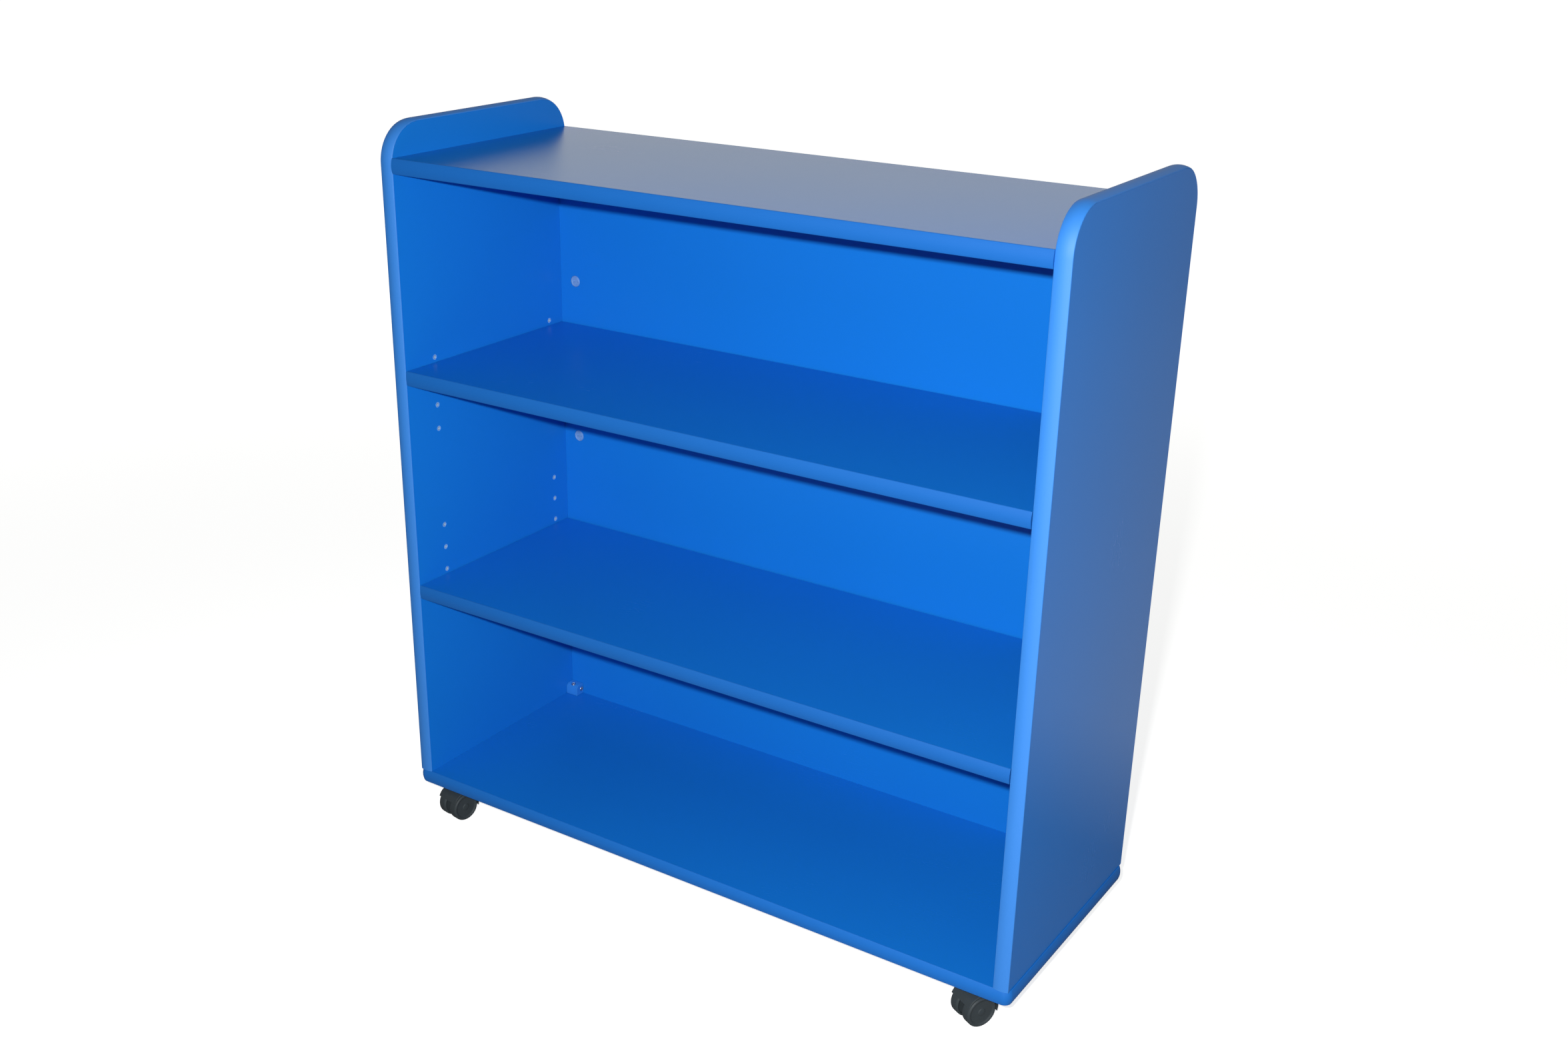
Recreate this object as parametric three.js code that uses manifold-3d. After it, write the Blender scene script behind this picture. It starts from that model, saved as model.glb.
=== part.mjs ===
// A mobile bookcase of blue faced board: two sides with rounded top corners stand on a wide base,
// a top board and a full back panel join them, two loose shelves lie on pegged supports, a barbed
// edging runs round every visible board edge, and four hooded twin-wheel castors carry the case.
// Millimetres, +Z up, the open front towards -Y. The origin is on the floor under the middle.

import * as THREE from 'three';
import { mergeVertices } from 'three/addons/utils/BufferGeometryUtils.js';
import Module from 'manifold-3d';

const wasm = await Module();
wasm.setup();

// The case
const caseWidth = 900; // over the outer faces of the sides
const caseDepth = 334; // over the edging, front to rear
const caseHeight = 904; // from the underside of the base to the top of the sides
const boardThickness = 19;
const backThickness = 16;
const topDrop = 42; // from the top of the sides down to the face of the top board
const cornerRadius = 50; // of the sides' top corners, over the edging
const baseCornerRadius = 8; // of the base board under its edging

// Fits
const jointGap = 0.1; // between two boards that are drawn together
const fitGap = 0.3; // between a fitting and the board it sits in or on
const shelfSideGap = 1; // at each end of a loose shelf
const shelfRearGap = 2;
const shelfSetback = 1; // from the front of the case to the front of a shelf
const overrun = 3; // of a cutting tool past the face it enters

// The edging, a crowned strip with a barbed stem that is driven into a groove
const lipThickness = 1; // of the strip at its long edges, over the bare board
const crownHeight = 2; // of the strip's middle above its long edges
const stemThickness = 1.6;
const stemDepth = 8;
const barbReach = 0.5;
const barbLength = 2;
const barbPitch = 2.6;
const firstBarbDepth = 2.4;
const barbsPerSide = 2;

// The rows of peg holes and the pegged supports
const holePitch = 32;
const holesPerGroup = 4;
const lowerGroupShare = 0.3053; // of the case height, up to the lowest hole of a group
const upperGroupShare = 0.5608;
const frontRowShare = 0.168; // of the case depth, from the front
const rearRowShare = 0.858;
const lowerShelfHole = 0; // counted up from the lowest of its group
const upperShelfHole = 2;
const pegRadius = 2.5;
const pegLength = 10;
const seatLength = 14;
const seatWidth = 12;
const seatThickness = 2;
const seatRise = 6.2; // of the seat's face above the peg's axis
const supportDrop = 7; // of the support's back below the peg's axis
const ribThickness = 2.4;

// The cam fixings and their bolts
const camRadius = 7.5;
const camFloor = 1; // of a cam beyond its bolt's head
const camInset = 25; // from the end of the board to the middle of the cam
const lowerCamShare = 0.4779; // of the case height
const upperCamShare = 0.7257;
const frontTopCamShare = 0.2; // of the case depth
const rearTopCamShare = 0.8;
const camCrossLength = 10;
const camCrossWidth = 1.8;
const camCrossDepth = 2;
const camMouthWidth = 8;
const boltHeadRadius = 3.2;
const boltHeadLength = 3;
const boltNeckRadius = 2;
const boltNeckLength = 5;
const boltShankRadius = 3.4;
const boltThreadRadius = 2.5;
const boltThreadLength = 7;

// The blocks in the lower rear corners
const blockWidth = 20;
const blockDepth = 15;
const blockHeight = 16;
const blockChamfer = 4;
const blockBoreRadius = 2.2;
const downBoreShare = 0.33; // of the block's depth, from its front
const sideBoreShare = 0.75;

// The castors
const wheelRadius = 20;
const wheelWidth = 14;
const castorInset = 45; // from the case's side and end to the swivel axis
const castorTrail = 18; // from the swivel axis back to the axle
const castorHeadroom = 15; // from the top of the wheels to the underside of the base
const castorTurns = { front_left: -10, front_right: -28, rear_left: -14, rear_right: -20 };
const wheelGap = 1.7; // between the tread and the hood
const hoodThickness = 2;
const hoodFrontDegrees = -12; // from level on the swivel's side
const hoodRearDegrees = 148;
const webThickness = 8;
const hubGap = 0.5; // between a wheel and the web
const treadRounding = 2;
const dishDepth = 1.6;
const rimWidth = 3;
const hubRadius = 6;
const innerRecess = 5;
const axleRadius = 2.5;
const axleReach = 10; // of the axle into each wheel
const axleBossRadius = 6.5;
const swivelBossRadius = 9;
const swivelPinRadius = 4;
const swivelPinLength = 9.5;
const swivelDishRadius = 12;
const swivelDishDepth = 1.2;
const plateSide = 42;
const plateThickness = 2;
const plateCornerRadius = 5;
const plateHoleRadius = 2.3;
const plateHoleInset = 6;

// How finely round forms are cut
const cornerSteps = 8; // of a side's rounded corner
const baseCornerSteps = 4;
const plateCornerSteps = 2;
const crownSteps = 6;
const holeSides = 8;
const camSides = 16;
const boltSides = 8;
const wheelSides = 16;
const hoodSteps = 10;
const bossSides = 12;

// Sizes and places that follow
const X = new THREE.Vector3(1, 0, 0);
const Y = new THREE.Vector3(0, 1, 0);
const Z = new THREE.Vector3(0, 0, 1);
const quarterTurn = Math.PI / 2;
const edgingRise = lipThickness + crownHeight;
const coreDepth = caseDepth - 2 * edgingRise;
const halfCoreDepth = coreDepth / 2;
const caseFront = -caseDepth / 2;
const castorHeight = 2 * wheelRadius + castorHeadroom;
const baseTop = castorHeight + boardThickness;
const caseTop = castorHeight + caseHeight;
const topFace = caseTop - topDrop;
const topUnderside = topFace - boardThickness;
const innerFace = caseWidth / 2 - boardThickness;
const backFront = halfCoreDepth - backThickness;
const backMiddle = halfCoreDepth - backThickness / 2;
const topMiddle = topFace - boardThickness / 2;
const grooveHalfWidth = stemThickness / 2 + barbReach + fitGap;
const grooveDepth = stemDepth + fitGap;
const heightAt = (share) => castorHeight + share * caseHeight;
const depthAt = (share) => caseFront + share * caseDepth;
const pegRows = [depthAt(frontRowShare), depthAt(rearRowShare)];
const groupStarts = { lower: heightAt(lowerGroupShare), upper: heightAt(upperGroupShare) };
const shelfHoles = { lower: lowerShelfHole, upper: upperShelfHole };
const pegHeight = (group) => groupStarts[group] + shelfHoles[group] * holePitch;
const backCamHeights = { lower: heightAt(lowerCamShare), upper: heightAt(upperCamShare) };
const topCamDepths = { front: depthAt(frontTopCamShare), rear: depthAt(rearTopCamShare) };
const hands = { left: -1, right: 1 };

// Finishes
const finishes = {
  board: { color: 0x0e64c5, roughness: 0.35, metalness: 0 },
  edging: { color: 0x1f72cf, roughness: 0.42, metalness: 0 },
  zinc: { color: 0xb9bcbd, roughness: 0.4, metalness: 0.8 },
  steel: { color: 0x9a9da0, roughness: 0.35, metalness: 0.9 },
  block: { color: 0x6f93bd, roughness: 0.5, metalness: 0 },
  nylon: { color: 0x2a2e31, roughness: 0.55, metalness: 0 },
};

const bookcase = new THREE.Group();

function addPiece(name, finish, geometry, parent = bookcase) {
  const piece = new THREE.Mesh(geometry, new THREE.MeshStandardMaterial(finishes[finish]));
  piece.name = name;
  parent.add(piece);
  return piece;
}

// A direction taken forwards or backwards.
function along(axis, sign) {
  return axis.clone().multiplyScalar(sign);
}

// Booleans

function toSolid(geometry) {
  const bare = geometry.clone();
  bare.deleteAttribute('normal');
  bare.deleteAttribute('uv');
  const merged = mergeVertices(bare);
  const vertProperties = new Float32Array(merged.attributes.position.array);
  const triVerts = new Uint32Array(merged.index.array);
  return new wasm.Manifold(new wasm.Mesh({ numProp: 3, vertProperties, triVerts }));
}

function toGeometry(solid) {
  const mesh = solid.getMesh();
  const geometry = new THREE.BufferGeometry();
  geometry.setAttribute('position', new THREE.BufferAttribute(new Float32Array(mesh.vertProperties), 3));
  geometry.setIndex(new THREE.BufferAttribute(new Uint32Array(mesh.triVerts), 1));
  geometry.computeVertexNormals();
  return geometry;
}

function cut(geometry, tools) {
  return toGeometry(tools.reduce((solid, tool) => solid.subtract(toSolid(tool)), toSolid(geometry)));
}

function join(geometries) {
  return toGeometry(geometries.map(toSolid).reduce((whole, solid) => whole.add(solid)));
}

// Basic forms

function block(low, high) {
  const size = high.clone().sub(low);
  const middle = low.clone().add(high).multiplyScalar(1 / 2);
  return new THREE.BoxGeometry(size.x, size.y, size.z).translate(middle.x, middle.y, middle.z);
}

// A round bar from a point along an axis.
function bar(start, axis, length, radius, sides) {
  const end = start.clone().addScaledVector(axis, length);
  const middle = start.clone().add(end).multiplyScalar(1 / 2);
  const turn = new THREE.Quaternion().setFromUnitVectors(Y, axis);
  const geometry = new THREE.CylinderGeometry(radius, radius, length, sides);
  return geometry.applyQuaternion(turn).translate(middle.x, middle.y, middle.z);
}

// A revolved form about an axis through a point: the profile lists [radius, distance along the axis].
function revolved(profile, start, axis, sides) {
  const points = profile.map(([radius, along]) => new THREE.Vector2(radius, along));
  const turn = new THREE.Quaternion().setFromUnitVectors(Y, axis);
  const geometry = new THREE.LatheGeometry(points, sides);
  return outwards(geometry.applyQuaternion(turn).translate(start.x, start.y, start.z));
}

// A flat outline with its first axis along one direction and its second along another, given a
// thickness along the third, from a distance on. A drawn arc gets two steps for each curve segment.
function slab(shape, first, second, from, thickness, arcSteps = cornerSteps) {
  const third = new THREE.Vector3().crossVectors(first, second);
  const curveSegments = arcSteps / 2;
  const geometry = new THREE.ExtrudeGeometry(shape, { depth: thickness, bevelEnabled: false, curveSegments });
  geometry.translate(0, 0, from);
  return geometry.applyMatrix4(new THREE.Matrix4().makeBasis(first, second, third));
}

// Points round a rectangle with rounded corners, each with the direction out of the rectangle there.
function aroundRectangle(width, depth, radius, steps) {
  return [[1, 1], [-1, 1], [-1, -1], [1, -1]].flatMap(([right, rear], corner) => (
    Array.from({ length: steps + 1 }, (_, i) => {
      const angle = quarterTurn * (corner + i / steps);
      const out = new THREE.Vector3(Math.cos(angle), Math.sin(angle), 0);
      const centre = new THREE.Vector3(right * (width / 2 - radius), rear * (depth / 2 - radius), 0);
      return { point: centre.addScaledVector(out, radius), out };
    })));
}

function roundedRectangle(width, depth, radius, steps) {
  const corners = aroundRectangle(width, depth, radius, steps);
  return new THREE.Shape(corners.map(({ point }) => new THREE.Vector2(point.x, point.y)));
}

// Turns the faces of a closed mesh round if they point inwards.
function outwards(geometry) {
  const bare = geometry.clone();
  bare.deleteAttribute('normal');
  bare.deleteAttribute('uv');
  const merged = mergeVertices(bare);
  const corner = new THREE.Vector3();
  const corners = [0, 1, 2].map(() => new THREE.Vector3());
  const place = merged.attributes.position;
  const faces = Array.from(merged.index.array);
  let volume = 0;
  for (let i = 0; i < faces.length; i += 3) {
    corners.forEach((point, k) => point.fromBufferAttribute(place, faces[i + k]));
    volume += corner.copy(corners[0]).dot(corners[1].cross(corners[2]));
  }
  merged.setIndex(volume < 0 ? faces.reverse() : faces);
  merged.computeVertexNormals();
  return merged;
}

// A section carried through a row of stations. Each station has a point, the direction that the
// section's first axis takes there and the direction of its second.
function carried(section, stations, closed = false) {
  const places = stations.flatMap(({ point, across, out }) =>
    section.flatMap(([u, v]) => point.clone().addScaledVector(across, u).addScaledVector(out, v).toArray()));
  const count = section.length;
  const faces = [];
  const spans = closed ? stations.length : stations.length - 1;
  for (let i = 0; i < spans; i += 1) {
    const here = i * count;
    const next = ((i + 1) % stations.length) * count;
    for (let k = 0; k < count; k += 1) {
      const l = (k + 1) % count;
      faces.push(here + k, here + l, next + l, here + k, next + l, next + k);
    }
  }
  if (!closed) {
    const last = (stations.length - 1) * count;
    const outline = section.map(([u, v]) => new THREE.Vector2(u, v));
    THREE.ShapeUtils.triangulateShape(outline, []).forEach(([a, b, c]) => {
      faces.push(c, b, a, last + a, last + b, last + c);
    });
  }
  const geometry = new THREE.BufferGeometry();
  geometry.setAttribute('position', new THREE.Float32BufferAttribute(places, 3));
  geometry.setIndex(faces);
  return outwards(geometry);
}

// The edging's sections: u runs across the board's thickness, v out of its edge

function crownLine() {
  const half = boardThickness / 2;
  return Array.from({ length: crownSteps + 1 }, (_, i) => {
    const side = 1 - (2 * i) / crownSteps;
    return [half * side, lipThickness + crownHeight * (1 - side * side)];
  });
}

function headSection() {
  const half = boardThickness / 2;
  return [[half, fitGap], ...crownLine(), [-half, fitGap]];
}

// One flank of the stem, from its root down to its tip, on the side of the given sign.
function stemFlank(sign, root) {
  const half = stemThickness / 2;
  const points = [[half * sign, root]];
  for (let i = 0; i < barbsPerSide; i += 1) {
    const top = -firstBarbDepth - i * barbPitch;
    points.push([half * sign, top], [(half + barbReach) * sign, top], [half * sign, top - barbLength]);
  }
  points.push([(half / 2) * sign, -stemDepth]);
  return points;
}

function stemSection(root) {
  return [...stemFlank(-1, root), ...stemFlank(1, root).reverse()];
}

function edgingSection() {
  return [...headSection(), ...stemSection(fitGap)];
}

function grooveSection() {
  return [
    [-grooveHalfWidth, overrun],
    [-grooveHalfWidth, -grooveDepth],
    [grooveHalfWidth, -grooveDepth],
    [grooveHalfWidth, overrun],
  ];
}

// Two stations for a straight front edge of a board that lies flat.
function frontEdge(length, front, middleHeight) {
  return [-length / 2, length / 2].map((x) => (
    { point: new THREE.Vector3(x, front, middleHeight), across: Z, out: along(Y, -1) }));
}

// The sides, their edging and the holes in them

const sideHeight = caseHeight - boardThickness - jointGap - edgingRise;
const sideFoot = baseTop + jointGap;
const coreCornerRadius = cornerRadius - edgingRise;

// Stations up the front of a side, round its two corners and down the rear.
function sideEdge(foot) {
  const top = sideFoot + sideHeight;
  const arcs = [[-1, 2 * quarterTurn], [1, quarterTurn]].flatMap(([end, startAngle]) => (
    Array.from({ length: cornerSteps + 1 }, (_, i) => {
      const angle = startAngle - (quarterTurn * i) / cornerSteps;
      const out = new THREE.Vector3(0, Math.cos(angle), Math.sin(angle));
      const centre = new THREE.Vector3(0, end * (halfCoreDepth - coreCornerRadius), top - coreCornerRadius);
      return { point: centre.addScaledVector(out, coreCornerRadius), across: X, out };
    })));
  const foots = [-1, 1].map((end) => (
    { point: new THREE.Vector3(0, end * halfCoreDepth, foot), across: X, out: along(Y, end) }));
  return [foots[0], ...arcs, foots[1]];
}

function sideOutline() {
  const top = sideFoot + sideHeight;
  const shape = new THREE.Shape();
  shape.moveTo(-halfCoreDepth, sideFoot);
  shape.lineTo(halfCoreDepth, sideFoot);
  const turn = halfCoreDepth - coreCornerRadius;
  shape.absarc(turn, top - coreCornerRadius, coreCornerRadius, 0, quarterTurn);
  shape.absarc(-turn, top - coreCornerRadius, coreCornerRadius, quarterTurn, 2 * quarterTurn);
  shape.closePath();
  return shape;
}

function sideBoard(hand) {
  const middle = hand * (caseWidth / 2 - boardThickness / 2);
  const outward = along(X, hand);
  const panel = slab(sideOutline(), Y, Z, middle - boardThickness / 2, boardThickness);
  const groove = carried(grooveSection(), sideEdge(sideFoot - overrun)).translate(middle, 0, 0);
  const mouth = hand * (innerFace - overrun);
  const pegHoles = Object.values(groupStarts).flatMap((start) => pegRows.flatMap((depth) => (
    Array.from({ length: holesPerGroup }, (_, i) => (
      bar(new THREE.Vector3(mouth, depth, start + i * holePitch), outward,
        overrun + pegLength + fitGap, pegRadius + fitGap, holeSides))))));
  const boltPlaces = [
    ...Object.values(backCamHeights).map((height) => [backMiddle, height]),
    ...Object.values(topCamDepths).map((depth) => [depth, topMiddle]),
  ];
  const boltHoles = boltPlaces.map(([depth, height]) => (
    bar(new THREE.Vector3(mouth, depth, height), outward,
      overrun + boltThreadLength + fitGap, boltThreadRadius + fitGap, holeSides)));
  return cut(panel, [groove, ...pegHoles, ...boltHoles]);
}

Object.entries(hands).forEach(([side, hand]) => {
  addPiece(`side_${side}`, 'board', sideBoard(hand));
  const edging = carried(edgingSection(), sideEdge(sideFoot));
  const middle = hand * (caseWidth / 2 - boardThickness / 2);
  addPiece(`side_${side}_edging`, 'edging', edging.translate(middle, 0, 0));
});

// The base and its edging, whose stem is notched out at the corners

const stemCornerCut = Math.max(baseCornerRadius, grooveDepth) + 2 * fitGap;

function baseBoard() {
  const outline = roundedRectangle(caseWidth, coreDepth, baseCornerRadius, baseCornerSteps);
  const board = slab(outline, X, Y, castorHeight, boardThickness);
  const rim = roundedRectangle(
    caseWidth + 2 * overrun, coreDepth + 2 * overrun, baseCornerRadius + overrun, baseCornerSteps);
  const kept = new THREE.Path();
  const right = caseWidth / 2 - grooveDepth;
  const rear = halfCoreDepth - grooveDepth;
  kept.moveTo(-right, -rear);
  kept.lineTo(-right, rear);
  kept.lineTo(right, rear);
  kept.lineTo(right, -rear);
  kept.closePath();
  rim.holes.push(kept);
  const grooveFoot = castorHeight + boardThickness / 2 - grooveHalfWidth;
  return cut(board, [slab(rim, X, Y, grooveFoot, 2 * grooveHalfWidth)]);
}

function baseEdging() {
  const height = castorHeight + boardThickness / 2;
  const rounds = aroundRectangle(caseWidth, coreDepth, baseCornerRadius, baseCornerSteps);
  const stations = rounds.map(({ point, out }) => ({ point, across: Z, out }));
  const head = carried(headSection(), stations, true).translate(0, 0, height);
  const stem = stemSection((fitGap + lipThickness) / 2);
  const stems = [-1, 1].flatMap((end) => {
    const alongX = caseWidth / 2 - stemCornerCut;
    const alongY = halfCoreDepth - stemCornerCut;
    const lengthways = [-alongX, alongX].map((x) => (
      { point: new THREE.Vector3(x, end * halfCoreDepth, height), across: Z, out: along(Y, end) }));
    const crossways = [-alongY, alongY].map((y) => (
      { point: new THREE.Vector3((end * caseWidth) / 2, y, height), across: Z, out: along(X, end) }));
    return [carried(stem, lengthways), carried(stem, crossways)];
  });
  return join([head, ...stems]);
}

addPiece('base', 'board', baseBoard());
addPiece('base_edging', 'edging', baseEdging());

// Cam fixings. The cam's axis runs into the board from its face, and the bolt lies along X at the
// middle of the board's thickness, screwed into the side and held by the cam.

const camLength = (depthOfBolt) => depthOfBolt + boltHeadRadius + camFloor;

function cam(place, inward, hand, depthOfBolt) {
  const length = camLength(depthOfBolt);
  const body = bar(place.clone().addScaledVector(inward, fitGap), inward, length, camRadius, camSides);
  const arm = new THREE.Vector3().crossVectors(inward, X);
  const face = fitGap + camCrossDepth;
  const crossBars = [X, arm].map((long, i) => {
    const wide = i === 0 ? arm : X;
    const reach = new THREE.Vector3()
      .addScaledVector(long, camCrossLength / 2).addScaledVector(wide, camCrossWidth / 2);
    const near = place.clone().sub(reach).addScaledVector(inward, -overrun);
    const far = place.clone().add(reach).addScaledVector(inward, face);
    return block(near.clone().min(far), near.clone().max(far));
  });
  const axis = place.clone().addScaledVector(inward, depthOfBolt);
  const half = new THREE.Vector3().addScaledVector(arm, camMouthWidth / 2)
    .addScaledVector(inward, boltHeadRadius + fitGap);
  const mouthStart = axis.clone().addScaledVector(X, -hand * (boltHeadLength / 2 + fitGap));
  const mouthEnd = axis.clone().addScaledVector(X, hand * (camRadius + overrun));
  const low = mouthStart.clone().min(mouthEnd).sub(new THREE.Vector3(0, Math.abs(half.y), Math.abs(half.z)));
  const high = mouthStart.clone().max(mouthEnd).add(new THREE.Vector3(0, Math.abs(half.y), Math.abs(half.z)));
  return cut(body, [...crossBars, block(low, high)]);
}

function camBolt(axis, hand) {
  const outward = along(X, hand);
  const headEnd = boltHeadLength;
  const neckEnd = headEnd + boltNeckLength;
  const shankEnd = camInset + boltHeadLength / 2;
  const tip = shankEnd + boltThreadLength;
  const profile = [
    [0, 0], [boltHeadRadius, 0], [boltHeadRadius, headEnd], [boltNeckRadius, headEnd],
    [boltNeckRadius, neckEnd], [boltShankRadius, neckEnd], [boltShankRadius, shankEnd],
    [boltThreadRadius, shankEnd], [boltThreadRadius, tip], [0, tip],
  ];
  const start = axis.clone().addScaledVector(outward, -boltHeadLength / 2);
  return revolved(profile, start, outward, boltSides);
}

// The bores that one cam and its bolt need in the board that holds the cam.
function camBores(place, inward, hand, depthOfBolt) {
  const outward = along(X, hand);
  const pocket = bar(place.clone().addScaledVector(inward, -overrun), inward,
    overrun + camLength(depthOfBolt) + 2 * fitGap, camRadius + fitGap, camSides);
  const axis = place.clone().addScaledVector(inward, depthOfBolt);
  return [pocket, bar(axis, outward, camInset + overrun, boltShankRadius + fitGap, holeSides)];
}

function addCamFixing(name, place, inward, hand, depthOfBolt) {
  addPiece(`${name}_cam`, 'zinc', cam(place, inward, hand, depthOfBolt));
  addPiece(`${name}_bolt`, 'steel', camBolt(place.clone().addScaledVector(inward, depthOfBolt), hand));
}

const boardEnd = innerFace - jointGap;
const camMiddle = boardEnd - camInset;

// The back panel, between the sides and under the top board

const backPlaces = Object.entries(hands).flatMap(([side, hand]) => (
  Object.entries(backCamHeights).map(([level, height]) => {
    const place = new THREE.Vector3(hand * camMiddle, backFront, height);
    return { name: `back_${side}_${level}`, hand, place };
  })));

function backPanel() {
  const panel = block(
    new THREE.Vector3(-boardEnd, backFront, baseTop + jointGap),
    new THREE.Vector3(boardEnd, halfCoreDepth, topUnderside - jointGap));
  return cut(panel, backPlaces.flatMap(({ place, hand }) => camBores(place, Y, hand, backThickness / 2)));
}

addPiece('back_panel', 'board', backPanel());
backPlaces.forEach(({ name, place, hand }) => addCamFixing(name, place, Y, hand, backThickness / 2));

// The top board and its front edging

const topPlaces = Object.entries(hands).flatMap(([side, hand]) => (
  Object.entries(topCamDepths).map(([end, depth]) => {
    const place = new THREE.Vector3(hand * camMiddle, depth, topUnderside);
    return { name: `top_${side}_${end}`, hand, place };
  })));

function topBoard() {
  const board = block(
    new THREE.Vector3(-boardEnd, -halfCoreDepth, topUnderside),
    new THREE.Vector3(boardEnd, halfCoreDepth, topFace));
  const groove = carried(grooveSection(), frontEdge(2 * (boardEnd + overrun), -halfCoreDepth, topMiddle));
  const bores = topPlaces.flatMap(({ place, hand }) => camBores(place, Z, hand, boardThickness / 2));
  return cut(board, [groove, ...bores]);
}

addPiece('top_board', 'board', topBoard());
addPiece('top_board_edging', 'edging',
  carried(edgingSection(), frontEdge(2 * boardEnd, -halfCoreDepth, topMiddle)));
topPlaces.forEach(({ name, place, hand }) => addCamFixing(name, place, Z, hand, boardThickness / 2));

// The loose shelves, their edging and the pegged supports under them

const shelfLength = 2 * (innerFace - shelfSideGap);
const shelfFront = -halfCoreDepth + shelfSetback;

function addShelf(group) {
  const underside = pegHeight(group) + seatRise + fitGap;
  const middleHeight = underside + boardThickness / 2;
  const board = block(
    new THREE.Vector3(-shelfLength / 2, shelfFront, underside),
    new THREE.Vector3(shelfLength / 2, backFront - shelfRearGap, underside + boardThickness));
  const groove = carried(grooveSection(), frontEdge(shelfLength + 2 * overrun, shelfFront, middleHeight));
  addPiece(`shelf_${group}`, 'board', cut(board, [groove]));
  addPiece(`shelf_${group}_edging`, 'edging',
    carried(edgingSection(), frontEdge(shelfLength, shelfFront, middleHeight)));
}

// An angle with a rib under its seat and a peg that goes into the side.
function support(hand, depth, height) {
  const place = (x, y, z) => new THREE.Vector3(hand * x, depth + y, height + z);
  const wall = innerFace - fitGap;
  const outline = (points) => {
    const shape = new THREE.Shape();
    points.forEach(([x, z], i) => (i === 0 ? shape.moveTo(hand * x, z) : shape.lineTo(hand * x, z)));
    shape.closePath();
    return shape;
  };
  const angle = outline([
    [wall, height - supportDrop],
    [wall, height + seatRise],
    [wall - seatLength, height + seatRise],
    [wall - seatLength, height + seatRise - seatThickness],
    [wall - seatThickness, height + seatRise - seatThickness],
    [wall - seatThickness, height - supportDrop],
  ]);
  const inside = seatThickness / 2;
  const rib = outline([
    [wall - inside, height - supportDrop],
    [wall - inside, height + seatRise - inside],
    [wall - seatLength + inside, height + seatRise - inside],
    [wall - seatLength + inside, height + seatRise - seatThickness - inside],
    [wall - seatThickness - inside, height - supportDrop],
  ]);
  const strip = (shape, width) => slab(shape, X, Z, 0, width).translate(0, depth + width / 2, 0);
  const outward = along(X, hand);
  const peg = bar(place(wall - inside, 0, 0), outward, inside + fitGap + pegLength, pegRadius, holeSides);
  return join([outwards(strip(angle, seatWidth)), outwards(strip(rib, ribThickness)), peg]);
}

Object.keys(groupStarts).forEach((group) => {
  addShelf(group);
  Object.entries(hands).forEach(([side, hand]) => {
    ['front', 'rear'].forEach((end, i) => {
      const geometry = support(hand, pegRows[i], pegHeight(group));
      addPiece(`support_${group}_${side}_${end}`, 'zinc', geometry);
    });
  });
});

// The corner blocks, screwed down to the base and out to the side

function cornerBlock(hand) {
  const rear = backFront - fitGap;
  const front = rear - blockDepth;
  const foot = baseTop + fitGap;
  const top = foot + blockHeight;
  const wall = innerFace - fitGap;
  const shape = new THREE.Shape();
  shape.moveTo(front, foot);
  shape.lineTo(rear, foot);
  shape.lineTo(rear, top);
  shape.lineTo(front + blockChamfer, top);
  shape.lineTo(front, top - blockChamfer);
  shape.closePath();
  const from = Math.min(hand * wall, hand * (wall - blockWidth));
  const body = slab(shape, Y, Z, from, blockWidth);
  const above = new THREE.Vector3(
    hand * (wall - blockWidth / 2), front + downBoreShare * blockDepth, top + overrun);
  const down = bar(above, along(Z, -1), blockHeight + 2 * overrun, blockBoreRadius, holeSides);
  const beside = new THREE.Vector3(
    hand * (wall - blockWidth - overrun), front + sideBoreShare * blockDepth, foot + blockHeight / 2);
  const sideways = bar(beside, along(X, hand), blockWidth + 2 * overrun, blockBoreRadius, holeSides);
  return cut(body, [down, sideways]);
}

Object.entries(hands).forEach(([side, hand]) => {
  addPiece(`corner_block_${side}`, 'block', cornerBlock(hand));
});

// The castors. Each is drawn about its swivel axis, with the wheels trailing towards -Y, and turned.

const hoodRadius = wheelRadius + wheelGap + hoodThickness;
const plateTop = castorHeight - jointGap;
const plateFoot = plateTop - plateThickness;
const bossTop = plateFoot - swivelDishDepth - fitGap;
const axlePoint = new THREE.Vector3(0, -castorTrail, wheelRadius);
const wheelInner = webThickness / 2 + hubGap;
const wheelOuter = wheelInner + wheelWidth;

function castorPlate() {
  const shape = roundedRectangle(plateSide, plateSide, plateCornerRadius, plateCornerSteps);
  const reach = plateSide / 2 - plateHoleInset;
  [[1, 1], [-1, 1], [-1, -1], [1, -1]].forEach(([right, rear]) => {
    const hole = new THREE.Path();
    hole.absarc(right * reach, rear * reach, plateHoleRadius, 0, 2 * Math.PI, true);
    shape.holes.push(hole);
  });
  const plate = slab(shape, X, Y, plateFoot, plateThickness, holeSides);
  const inside = plateFoot + plateThickness / 2;
  const tip = bossTop - swivelPinLength;
  const profile = [
    [0, inside],
    [swivelDishRadius, inside],
    [swivelDishRadius - swivelDishDepth, plateFoot - swivelDishDepth],
    [swivelPinRadius, plateFoot - swivelDishDepth],
    [swivelPinRadius, tip],
    [0, tip],
  ];
  return join([plate, revolved(profile, new THREE.Vector3(), Z, bossSides)]);
}

// An arc of points about the axle, as [distance along Y, height].
function aboutAxle(radius, fromDegrees, toDegrees, steps) {
  return Array.from({ length: steps + 1 }, (_, i) => {
    const angle = THREE.MathUtils.degToRad(fromDegrees + ((toDegrees - fromDegrees) * i) / steps);
    return new THREE.Vector2(axlePoint.y + radius * Math.cos(angle), axlePoint.z + radius * Math.sin(angle));
  });
}

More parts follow.
